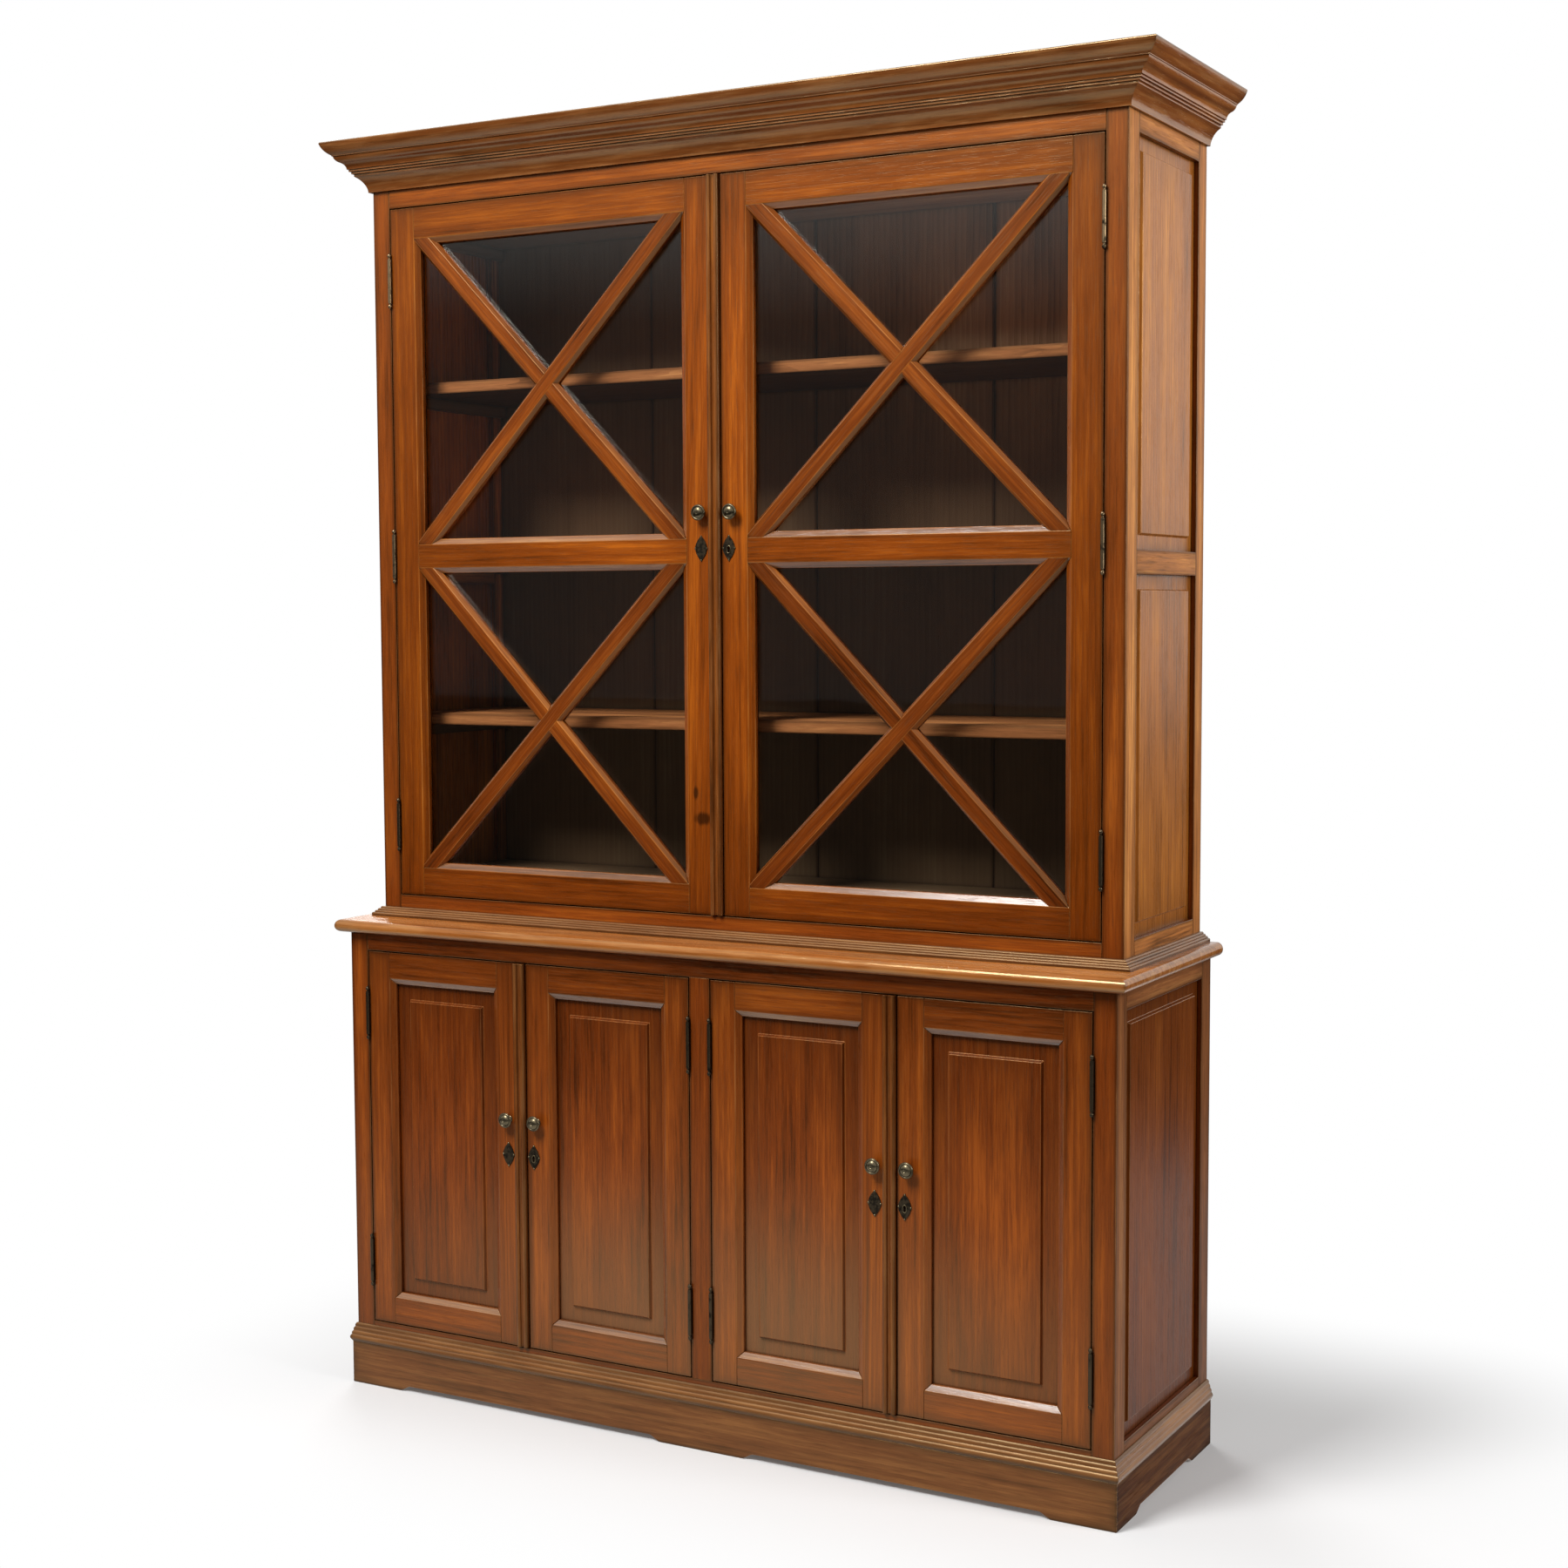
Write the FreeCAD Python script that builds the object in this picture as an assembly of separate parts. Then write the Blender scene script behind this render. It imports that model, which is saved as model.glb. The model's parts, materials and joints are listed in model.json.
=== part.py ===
import FreeCAD, Part
import math
import os

# Tall two-stage bookcase: glazed upper case with crossed bars, panelled lower case.
# Millimetres. +Z up, front faces -Y, origin on the floor under the centre of the bounding box.

os.makedirs("parts", exist_ok=True)
V = FreeCAD.Vector
UP = V(0, 0, 1)

# Overall sizes
overall_height = 2400.0
upper_width = 1534.0
upper_depth = 380.0
stage_step = 20.25
stage_advance = 81.0

# Heights of the stages, from the floor up
waist_level = 915.0
plinth_height = 82.0
base_moulding_height = 36.0
lower_bottom_rail_show = 9.0
lower_top_rail_show = 34.0
slab_thickness = 24.0
upper_bottom_rail_height = 42.0
upper_top_rail_show = 33.5
cornice_height = 91.0
cornice_rise = 18.0

# Fits
door_gap = 2.0
joint_gap = 0.15
fit_gap = 0.4
pin_clearance = 0.05
sweep_clearance = 0.5

# Case framing
frame_thickness = 24.0
side_thickness = 26.0
upper_post_width = 38.5
upper_post_depth = 50.0
upper_rear_post = 40.0
lower_post_width = 40.25
lower_post_depth = 45.0
lower_rear_post = 46.0
centre_stile_width = 42.0
upper_side_bottom_rail = 44.0
upper_side_panel_height = 605.0
upper_side_mid_rail = 41.0
upper_side_top_rail_show = 32.0
lower_side_bottom_rail = 53.0
lower_side_top_rail = 36.0
tenon_length = 18.0
tenon_thickness = 8.0
tenon_inset = 5.0
stop_drop = 12.0
stop_depth = 16.0

# Side panels, let into grooves
side_margin_depth = 9.0
side_field_depth = 3.5
side_margin = 24.0
field_slope = 3.0
tongue_thickness = 7.0
tongue_length = 7.0
groove_depth = 8.5
groove_play = 0.2

# Boards
board_thickness = 23.0
back_thickness = 14.0
back_board_count = 4
back_vee = 3.0
back_play = 0.8
shelf_setback = 60.0
shelf_play = 0.5
shelf_edge_radius = 3.0
upper_floor_rise = 33.5
ceiling_drop = 7.0
upper_shelf_count = 3
lower_floor_rise = 13.0
lower_shelf_rise = 365.0
cleat_height = 22.0
cleat_width = 16.0
dust_thickness = 10.0

# Waist slab and mouldings
slab_overhang = 22.5
slab_top_radius = 11.5
slab_bottom_radius = 11.5
waist_height = 17.0
waist_projection = 19.0
waist_lip = 2.5
waist_reeds = 4
waist_bulge = 1.6
base_overhang = 3.5
base_lip = 1.5
base_reeds = 4
base_bulge = 1.2
base_nose = 6.0
cornice_projection = 72.0

# Plinth
plinth_projection = 8.0
plinth_thickness = 22.0
foot_cut_height = 10.5
foot_ramp = 30.0
front_foot = 112.0
centre_foot = 165.0
side_front_foot = 85.0
side_rear_foot = 95.0

# Upper doors
door_thickness = 23.5
upper_meeting_x = 4.5
upper_hinge_stile = 55.0
upper_left_meeting_stile = 72.0
upper_right_meeting_stile = 52.0
upper_top_rail = 58.0
upper_bottom_rail = 53.0
upper_mid_rail = 43.5
upper_bevel = 11.0
upper_bevel_depth = 7.0
glass_seat = 16.0
glass_thickness = 3.0
glass_play = 1.0
bead_width = 10.0
bead_bevel = 3.0
bar_face = 35.0
bar_bevel = 6.0
rising_bar_shift = -5.0
falling_bar_shift = -2.0
lap_gap = 0.2

# Lower doors
lower_meeting_shift = 7.0
lower_hinge_stile = 50.0
lower_left_meeting_stile = 65.0
lower_right_meeting_stile = 50.0
lower_rail_width = 50.0
lower_bevel = 11.0
lower_bevel_depth = 7.0
door_margin_depth = 13.0
door_field_depth = 7.5
door_margin = 29.0

# Meeting bead on the left leaf of each pair
astragal_width = 24.0
astragal_proud = 8.0
astragal_reed = 9.0
astragal_edge = 4.0

# Hinges
hinge_half = 40.0
hinge_stand = 4.0
knuckle_radius = 3.5
knuckle_gap = 0.3
hinge_pin_radius = 2.0
leaf_thickness = 2.0
leaf_depth = 20.0
finial_height = 12.0
finial_shares = ((0.0, 0.95), (0.14, 0.95), (0.2, 0.55), (0.34, 0.55), (0.42, 0.86), (0.55, 0.98))
finial_tip_shares = ((0.72, 0.98), (0.88, 0.72), (1.0, 0.26))
upper_hinge_inset = 135.0
lower_hinge_inset = 120.0

# Knobs and key plates
knob_radius = 14.25
knob_reach = 20.0
left_knob_offset = 40.0
right_knob_offset = 24.0
knob_rise = 68.0
plate_half_height = 22.0
plate_half_width = 12.5
plate_curve_shares = (0.7, 0.5)
plate_thickness = 1.6
plate_pin_radius = 1.6
plate_pin_height = 2.4
left_plate_offset = 42.0
right_plate_offset = 15.5
upper_plate_rise = 4.5
lower_plate_rise = 1.0
keyhole_radius = 2.4
keyhole_slot = 2.6
keyhole_drop = 8.0

# Locks and slip bolts
lock_width = 34.0
lock_half_height = 27.0
lock_depth = 12.0
lock_bolt_height = 10.0
lock_bolt_thickness = 5.0
lock_bolt_length = 26.0
lock_bolt_back = 16.0
lock_throw = 8.0
slip_offset = 30.0
slip_width = 8.0
slip_thickness = 5.0
slip_length = 90.0
slip_throw = 12.0
slip_drop = 0.8
thumb_size = 6.0
thumb_reach = 5.0
thumb_drop = 62.0

# Places that follow from the sizes above
lower_width = upper_width + 2 * stage_step
lower_depth = upper_depth + stage_advance
overall_depth = lower_depth + max(slab_overhang, knob_reach)
back_y = overall_depth / 2
upper_face = back_y - upper_depth
lower_face = back_y - lower_depth
upper_side = upper_width / 2
lower_side = lower_width / 2
upper_inner = upper_side - side_thickness
lower_inner = lower_side - side_thickness
upper_half_span = upper_side - upper_post_width - door_gap
lower_half_span = lower_side - lower_post_width - door_gap
slab_top = waist_level
slab_bottom = slab_top - slab_thickness
lower_rail_low = plinth_height + base_moulding_height + lower_bottom_rail_show
lower_rail_high = slab_bottom - lower_top_rail_show
upper_rail_low = slab_top + upper_bottom_rail_height
cornice_bottom = overall_height - cornice_height
carcass_top = overall_height - cornice_rise
upper_rail_high = cornice_bottom - upper_top_rail_show
upper_floor_top = upper_rail_low + upper_floor_rise
ceiling_top = upper_rail_high - ceiling_drop
shelf_spacing = (ceiling_top - upper_floor_top) / (upper_shelf_count + 1)
board_levels = [upper_floor_top + shelf_spacing * i for i in range(upper_shelf_count + 1)]
lower_floor_top = lower_rail_low + lower_floor_rise
lower_shelf_top = lower_floor_top + lower_shelf_rise
side_mid_low = slab_top + upper_side_bottom_rail + upper_side_panel_height
upper_side_rails_z = (
    (slab_top, slab_top + upper_side_bottom_rail),
    (side_mid_low, side_mid_low + upper_side_mid_rail),
    (cornice_bottom - upper_side_top_rail_show, carcass_top),
)
lower_side_rails_z = (
    (plinth_height, plinth_height + lower_side_bottom_rail),
    (slab_bottom - lower_side_top_rail, slab_bottom),
)
upper_bottom = upper_rail_low + door_gap
upper_top = upper_rail_high - door_gap
lower_bottom = lower_rail_low + door_gap
lower_top = lower_rail_high - door_gap
upper_middle = (upper_bottom + upper_bottom_rail + upper_top - upper_top_rail) / 2
lower_middle = (lower_bottom + lower_top) / 2
upper_plate_level = upper_middle + upper_plate_rise
lower_plate_level = lower_middle + lower_plate_rise
upper_hinge_levels = (upper_bottom + upper_hinge_inset, upper_middle, upper_top - upper_hinge_inset)
lower_hinge_levels = (lower_bottom + lower_hinge_inset, lower_top - lower_hinge_inset)
nodes = {}


def solid(span):
    (x0, x1), (y0, y1), (z0, z1) = span
    return Part.makeBox(x1 - x0, y1 - y0, z1 - z0, V(x0, y0, z0))


def grown(span, gx, gy, gz):
    return [(lo - g, hi + g) for (lo, hi), g in zip(span, (gx, gy, gz))]


def mirrored(shape):
    return shape.mirror(V(0, 0, 0), V(1, 0, 0))


def both_sides(shapes):
    return list(shapes) + [mirrored(s) for s in shapes]


def cut_all(shape, tools):
    for tool in tools:
        shape = shape.cut(tool)
    return shape


def tenon_spans(span, along, thick):
    # Stub tenons past both ends of a member and the mortises that take them.
    (wide,) = {0, 1, 2} - {along, thick}
    middle = sum(span[thick]) / 2
    found = []
    for end, sign in ((0, -1), (1, 1)):
        shoulder = span[along][end]
        tip = shoulder + sign * tenon_length
        tenon = [None] * 3
        tenon[thick] = (middle - tenon_thickness / 2, middle + tenon_thickness / 2)
        tenon[wide] = (span[wide][0] + tenon_inset, span[wide][1] - tenon_inset)
        tenon[along] = (min(shoulder, tip), max(shoulder, tip))
        grow = [0, 0, 0]
        grow[wide] = fit_gap
        grow[along] = fit_gap
        found.append((solid(tenon), solid(grown(tenon, *grow))))
    return found


def member(span, along, thick):
    # A rail or stile with a stub tenon at each end; returns the solid and its mortises.
    shape = solid(span)
    holes = []
    for tenon, hole in tenon_spans(span, along, thick):
        shape = shape.fuse(tenon)
        holes.append(hole)
    return shape, holes


def polygon(points):
    return Part.makePolygon(list(points) + [points[0]])


def flat_sided(first, second):
    # Solid between two outlines with the same number of corners; every side of it is flat.
    outlines = [first, second]
    for i, near in enumerate(first):
        outlines.append([first[i - 1], near, second[i], second[i - 1]])
    shell = Part.makeShell([Part.Face(polygon(points)) for points in outlines])
    shell.sewShape()
    shape = Part.makeSolid(shell)
    if shape.Volume < 0:
        shape.reverse()
    return shape


edge_sides = ("left", "right", "bottom", "top")


def opening_strip(face_y, x0, x1, z0, z1, side, profile):
    # A strip along one edge of an opening, mitred at both ends.
    # profile lists (reach into the opening, depth behind the face).
    ends = []
    for far in (False, True):
        points = []
        for reach, depth in profile:
            along_x = x1 - reach - joint_gap if far else x0 + reach + joint_gap
            along_z = z1 - reach - joint_gap if far else z0 + reach + joint_gap
            place = {
                "left": (x0 + reach, along_z),
                "right": (x1 - reach, along_z),
                "bottom": (along_x, z0 + reach),
                "top": (along_x, z1 - reach),
            }[side]
            points.append(V(place[0], face_y + depth, place[1]))
        ends.append(points)
    return flat_sided(ends[0], ends[1])


def flat_rect(x0, x1, y, z0, z1):
    return [V(x0, y, z0), V(x1, y, z0), V(x1, y, z1), V(x0, y, z1)]


def raised_panel(face_y, x0, x1, z0, z1, margin_depth, field_depth, margin):
    # Flat tongue plate with a raised field on its front; also the pocket that holds its tongue.
    front = face_y + margin_depth
    rear = front + tongue_thickness
    across = (x0 - tongue_length, x1 + tongue_length)
    plate = [across, (front, rear), (z0 - groove_depth, z1 + tongue_length)]
    field_y = face_y + field_depth
    inner = margin + field_slope
    low = flat_rect(x0 + margin, x1 - margin, front, z0 + margin, z1 - margin)
    high = flat_rect(x0 + inner, x1 - inner, field_y, z0 + inner, z1 - inner)
    panel = solid(plate).fuse(flat_sided(low, high))
    pocket_x = (x0 - groove_depth, x1 + groove_depth)
    pocket_z = (z0 - groove_depth, z1 + groove_depth)
    return panel, solid([pocket_x, (front - groove_play, rear), pocket_z])


def quarter_turn(shape):
    turned = shape.copy()
    turned.rotate(V(0, 0, 0), UP, 90)
    return turned


def path_edges(path, place):
    # Closed profile from straight steps (p, h) and three-point arcs (pm, hm, p, h).
    edges = []
    last = path[0]
    for step in path[1:] + [path[0]]:
        target = step[-2:]
        if len(step) == 4:
            edges.append(Part.Arc(place(*last), place(*step[:2]), place(*target)).toShape())
        else:
            edges.append(Part.makeLine(place(*last), place(*target)))
        last = target
    return Part.Face(Part.Wire(edges))


def plan_prism(points, z0, z1):
    face = Part.Face(polygon([V(x, y, z0) for x, y in points]))
    return face.extrude(V(0, 0, z1 - z0))


def mitred_run(path, half_width, face_y, z0, reach):
    # Moulding round three sides of a case: a front length and two returns, mitred at the corners.
    top = max(step[-1] for step in path)
    low_y = face_y - reach
    front_face = path_edges(path, lambda p, h: V(-half_width - reach, face_y - p, z0 + h))
    front = front_face.extrude(V(2 * (half_width + reach), 0, 0))
    near = half_width - joint_gap
    far = near + reach
    front_plan = [(-near, face_y), (near, face_y), (far, low_y), (-far, low_y)]
    front = front.common(plan_prism(front_plan, z0, z0 + top))
    side_face = path_edges(path, lambda p, h: V(half_width + p, low_y, z0 + h))
    side = side_face.extrude(V(0, back_y - low_y, 0))
    wide = half_width + reach
    side_plan = [(half_width, face_y), (wide, low_y), (wide, back_y), (half_width, back_y)]
    side = side.common(plan_prism(side_plan, z0, z0 + top))
    return [front, side, mirrored(side)]


def reeded(start, end, count, bulge):
    # Row of half-round reeds along a sloping line, as three-point arcs.
    dp = (end[0] - start[0]) / count
    dh = (end[1] - start[1]) / count
    size = math.hypot(dp, dh)
    out = (dh / size * bulge, -dp / size * bulge)
    steps = []
    for i in range(count):
        p0 = start[0] + dp * i
        h0 = start[1] + dh * i
        steps.append((p0 + dp / 2 + out[0], h0 + dh / 2 + out[1], p0 + dp, h0 + dh))
    return steps


def revolved(profile, spin_axis):
    # profile lists points in a plane that holds the axis; arcs are three-point tuples.
    edges = []
    for item in profile:
        if len(item) == 3:
            edges.append(Part.Arc(*item).toShape())
        else:
            edges.append(Part.makeLine(*item))
    face = Part.Face(Part.Wire(edges))
    return face.revolve(V(0, 0, 0), spin_axis, 360)


def add(name, *shapes):
    nodes[name] = shapes[0] if len(shapes) == 1 else Part.makeCompound(list(shapes))


# Hinges: two-knuckle butts, the lower knuckle and pin on the case, the upper knuckle on the door.
def finial_points(sign, base):
    shares = finial_shares + finial_tip_shares
    wide = knuckle_radius
    return [V(share_r * wide, 0, base + sign * share_h * finial_height) for share_h, share_r in shares]


def hinge_pin(x, y, z):
    top = finial_points(1, hinge_half)
    low = finial_points(-1, -hinge_half)
    outline = [V(0, 0, low[-1].z)] + low[::-1]
    outline += [V(hinge_pin_radius, 0, -hinge_half), V(hinge_pin_radius, 0, hinge_half)]
    outline += top + [V(0, 0, top[-1].z)]
    pairs = [(a, b) for a, b in zip(outline, outline[1:] + outline[:1])]
    pin = revolved(pairs, UP)
    pin.translate(V(x, y, z))
    return pin


def leaf_x(x, side):
    # A leaf's place across the gap: let into the wood, flush with its edge.
    near = x + side * door_gap / 2
    far = near + side * leaf_thickness
    return (min(near, far), max(near, far))


def hinge_leaf(x, face_y, z, side, lower_knuckle):
    # side is +1 when this leaf lies to the right of the axis.
    axis_y = face_y - hinge_stand
    plate = solid([leaf_x(x, side), (axis_y, face_y + leaf_depth), (z - hinge_half, z + hinge_half)])
    own_low = z - hinge_half if lower_knuckle else z + knuckle_gap / 2
    other_low = z - knuckle_gap / 2 if lower_knuckle else z - hinge_half
    length = hinge_half - knuckle_gap / 2
    other_length = hinge_half + knuckle_gap / 2
    barrel = Part.makeCylinder(knuckle_radius, length, V(x, axis_y, own_low))
    sweep = Part.makeCylinder(knuckle_radius + sweep_clearance, other_length, V(x, axis_y, other_low))
    bore = Part.makeCylinder(hinge_pin_radius + pin_clearance, 2 * hinge_half, V(x, axis_y, z - hinge_half))
    return plate.cut(sweep).fuse(barrel).cut(bore)


def hinge_recess(x, face_y, z, side):
    deep = (face_y, face_y + leaf_depth + fit_gap)
    return solid([leaf_x(x, side), deep, (z - hinge_half, z + hinge_half + fit_gap)])


frame_leaves = []
pins = []


def hang(x, face_y, levels, frame_side):
    # Hinges of one door; returns the door's leaves and recesses and the case's recesses.
    door_leaves = []
    door_recesses = []
    frame_recesses = []
    for z in levels:
        frame_leaves.append(hinge_leaf(x, face_y, z, frame_side, True))
        door_leaves.append(hinge_leaf(x, face_y, z, -frame_side, False))
        pins.append(hinge_pin(x, face_y - hinge_stand, z))
        door_recesses.append(hinge_recess(x, face_y, z, -frame_side))
        frame_recesses.append(hinge_recess(x, face_y, z, frame_side))
    return door_leaves, door_recesses, frame_recesses


# Knob: a turned button on a slim stem, with a ring and a dimpled dome on its face.
def knob(x, face_y, z):
    r = knob_radius
    s = knob_reach
    at = lambda share_r, share_s: V(share_r * r, -share_s * s, 0)
    turned_shares = [
        ((0.0, 0.0), (0.46, 0.0)),
        ((0.46, 0.0), (0.46, 0.06)),
        ((0.46, 0.06), (0.36, 0.13)),
        ((0.36, 0.13), (0.31, 0.28), (0.36, 0.44)),
        ((0.36, 0.44), (0.74, 0.53), (0.97, 0.68)),
        ((0.97, 0.68), (1.0, 0.73), (0.96, 0.79)),
        ((0.96, 0.79), (0.84, 0.86), (0.73, 0.82)),
        ((0.73, 0.82), (0.48, 0.955), (0.2, 1.0)),
        ((0.2, 1.0), (0.14, 0.965)),
        ((0.14, 0.965), (0.0, 0.965)),
        ((0.0, 0.965), (0.0, 0.0)),
    ]
    shape = revolved([tuple(at(*p) for p in item) for item in turned_shares], V(0, 1, 0))
    shape.translate(V(x, face_y, z))
    return shape


def keyhole(x, y0, depth, z):
    round_part = Part.makeCylinder(keyhole_radius, depth, V(x, y0, z), V(0, 1, 0))
    slot = solid([(x - keyhole_slot / 2, x + keyhole_slot / 2), (y0, y0 + depth), (z - keyhole_drop, z)])
    return round_part.fuse(slot)


def key_plate(x, face_y, z, pierced):
    # Four-pointed plate with bowed edges, held by a dome-headed pin at each point.
    points = (
        V(0, 0, plate_half_height),
        V(plate_half_width, 0, 0),
        V(0, 0, -plate_half_height),
        V(-plate_half_width, 0, 0),
    )
    share_x, share_z = plate_curve_shares
    edges = []
    for a, b in zip(points, points[1:] + points[:1]):
        bow = V((a.x + b.x) * share_x, 0, (a.z + b.z) * share_z)
        edges.append(Part.Arc(a, bow, b).toShape())
    outline = Part.Face(Part.Wire(edges))
    outline.translate(V(x, face_y, z))
    plate = outline.extrude(V(0, -plate_thickness, 0))
    if pierced:
        plate = plate.cut(keyhole(x, face_y - plate_thickness, plate_thickness, z))
    reach_z = plate_half_height - plate_pin_radius / 2
    reach_x = plate_half_width - plate_pin_radius / 2
    solids = []
    for dx, dz in ((0, reach_z), (0, -reach_z), (reach_x, 0), (-reach_x, 0)):
        base = V(x + dx, face_y, z + dz)
        hole = Part.makeCylinder(plate_pin_radius + joint_gap, plate_thickness, base, V(0, -1, 0))
        plate = plate.cut(hole)
        straight = plate_thickness + joint_gap
        shank = Part.makeCylinder(plate_pin_radius, straight, base, V(0, -1, 0))
        crown_base = base + V(0, -straight, 0)
        crown_height = plate_pin_height - straight
        crown = Part.makeCone(plate_pin_radius, plate_pin_radius / 2, crown_height, crown_base, V(0, -1, 0))
        solids.append(shank.fuse(crown))
    return [plate.Solids[0]] + solids


def astragal(edge_x, face_y, z0, z1):
    # Double-reeded bead planted on the leaf's face, flush with its meeting edge.
    low = edge_x - astragal_width
    rise = astragal_proud - astragal_edge
    side_y = face_y - astragal_edge
    crest_y = face_y - astragal_proud
    valley = edge_x - astragal_width / 2
    shoulder = astragal_width / 2 - astragal_reed
    a = V(low, face_y, z0)
    b = V(edge_x, face_y, z0)
    c = V(edge_x, side_y, z0)
    d = V(valley + shoulder, side_y, z0)
    e = V(valley, side_y + rise / 2, z0)
    f = V(valley - shoulder, side_y, z0)
    g = V(low, side_y, z0)
    crest_right = V((c.x + d.x) / 2, crest_y, z0)
    crest_left = V((f.x + g.x) / 2, crest_y, z0)
    edges = [
        Part.makeLine(a, b),
        Part.makeLine(b, c),
        Part.Arc(c, crest_right, d).toShape(),
        Part.makeLine(d, e),
        Part.makeLine(e, f),
        Part.Arc(f, crest_left, g).toShape(),
        Part.makeLine(g, a),
    ]
    return Part.Face(Part.Wire(edges)).extrude(V(0, 0, z1 - z0))


def door_stile(x0, x1, face_y, z0, z1):
    return solid([(x0, x1), (face_y, face_y + door_thickness), (z0, z1)])


def lock_parts(edge_x, face_y, z):
    # Cut-in lock in the right leaf, its sliding bolt, and the pockets both leaves need.
    rear = face_y + door_thickness
    front = rear - lock_depth
    body_span = [(edge_x, edge_x + lock_width), (front, rear), (z - lock_half_height, z + lock_half_height)]
    bolt_y = face_y + lock_bolt_back - lock_bolt_thickness / 2
    bolt_span = [
        (edge_x + joint_gap, edge_x + lock_bolt_length),
        (bolt_y, bolt_y + lock_bolt_thickness),
        (z - lock_bolt_height / 2, z + lock_bolt_height / 2),
    ]
    channel = [
        (edge_x, edge_x + lock_bolt_length + fit_gap),
        (bolt_y - fit_gap, bolt_y + lock_bolt_thickness + fit_gap),
        (z - lock_bolt_height / 2, z + lock_bolt_height / 2 + fit_gap),
    ]
    body = solid(body_span).cut(solid(channel))
    pocket = solid([body_span[0], body_span[1], (z - lock_half_height, z + lock_half_height + fit_gap)])
    strike_x = edge_x - door_gap
    strike = solid([(strike_x - lock_throw, strike_x)] + grown(bolt_span, 0, fit_gap, fit_gap)[1:])
    return body, solid(bolt_span), pocket, strike


def slip_parts(edge_x, face_y, top_z):
    # Flat bolt in the left leaf's top edge, its thumb piece, its channel and its keeper hole.
    x = edge_x - slip_offset
    front = face_y + door_thickness / 2 - slip_thickness / 2
    rear = front + slip_thickness
    head = top_z - slip_drop
    foot = head - slip_length
    bar_span = [(x - slip_width / 2, x + slip_width / 2), (front, rear), (foot, head)]
    back = face_y + door_thickness
    thumb_z = top_z - thumb_drop
    thumb_x = (x - thumb_size / 2, x + thumb_size / 2)
    thumb = [thumb_x, (rear, back + thumb_reach), (thumb_z, thumb_z + thumb_size)]
    bolt = solid(bar_span).fuse(solid(thumb))
    channel_x = (bar_span[0][0] - fit_gap, bar_span[0][1] + fit_gap)
    channel = solid([channel_x, (front, rear + fit_gap), (foot, top_z)])
    slot_span = [thumb[0], (rear, back), (thumb_z, thumb_z + thumb_size + slip_throw)]
    slot = solid(grown(slot_span, fit_gap, 0, fit_gap))
    keeper_span = [bar_span[0], bar_span[1], (top_z, top_z + door_gap + slip_throw)]
    keeper = solid(grown(keeper_span, fit_gap, fit_gap, 0))
    return bolt, channel.fuse(slot), keeper


def frustum(face_y, x0, x1, z0, z1):
    # Room that a bevelled opening leaves in front of its glass.
    g = joint_gap
    b = upper_bevel + joint_gap
    bevel_y = face_y + upper_bevel_depth
    front = flat_rect(x0 + g, x1 - g, face_y, z0 + g, z1 - g)
    rear = flat_rect(x0 + b, x1 - b, bevel_y, z0 + b, z1 - b)
    deep = solid([(x0 + b, x1 - b), (bevel_y, face_y + glass_seat), (z0 + b, z1 - b)])
    return flat_sided(front, rear).fuse(deep)


def bar(face_y, x0, x1, z0, z1, rising, extra):
    # Sloping bar with bevelled sides whose ends lie along the rails and point into the corners.
    run = x1 - x0 - bar_face
    slope = math.atan2(z1 - z0, run)
    side = bar_bevel / math.sin(slope)
    profile = [
        (-extra, 0),
        (bar_face + extra, 0),
        (bar_face + side + extra, upper_bevel_depth),
        (bar_face + side + extra, glass_seat),
        (-side - extra, glass_seat),
        (-side - extra, upper_bevel_depth),
    ]
    shift = rising_bar_shift if rising else falling_bar_shift
    low_x = x0 + shift if rising else x1 - bar_face + shift
    high_x = x1 - bar_face + shift if rising else x0 + shift
    low = [V(low_x + p, face_y + d, z0) for p, d in profile]
    high = [V(high_x + p, face_y + d, z1) for p, d in profile]
    return flat_sided(low, high)


def crossed_bars(face_y, x0, x1, z0, z1):
    # Two bars halved over each other: the rising one shows on the face.
    room = frustum(face_y, x0, x1, z0, z1)
    half_y = face_y + glass_seat / 2
    wide = x1 - x0
    near = solid([(x0 - wide, x1 + wide), (face_y, half_y), (z0, z1)])
    far = solid([(x0 - wide, x1 + wide), (half_y, face_y + glass_seat), (z0, z1)])
    rising = bar(face_y, x0, x1, z0, z1, True, 0).common(room)
    falling = bar(face_y, x0, x1, z0, z1, False, 0).common(room)
    rising_front = bar(face_y, x0, x1, z0, z1, True, lap_gap).common(near)
    falling_rear = bar(face_y, x0, x1, z0, z1, False, lap_gap).common(far)
    return [rising.cut(falling_rear).Solids[0], falling.cut(rising_front).Solids[0]]


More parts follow.
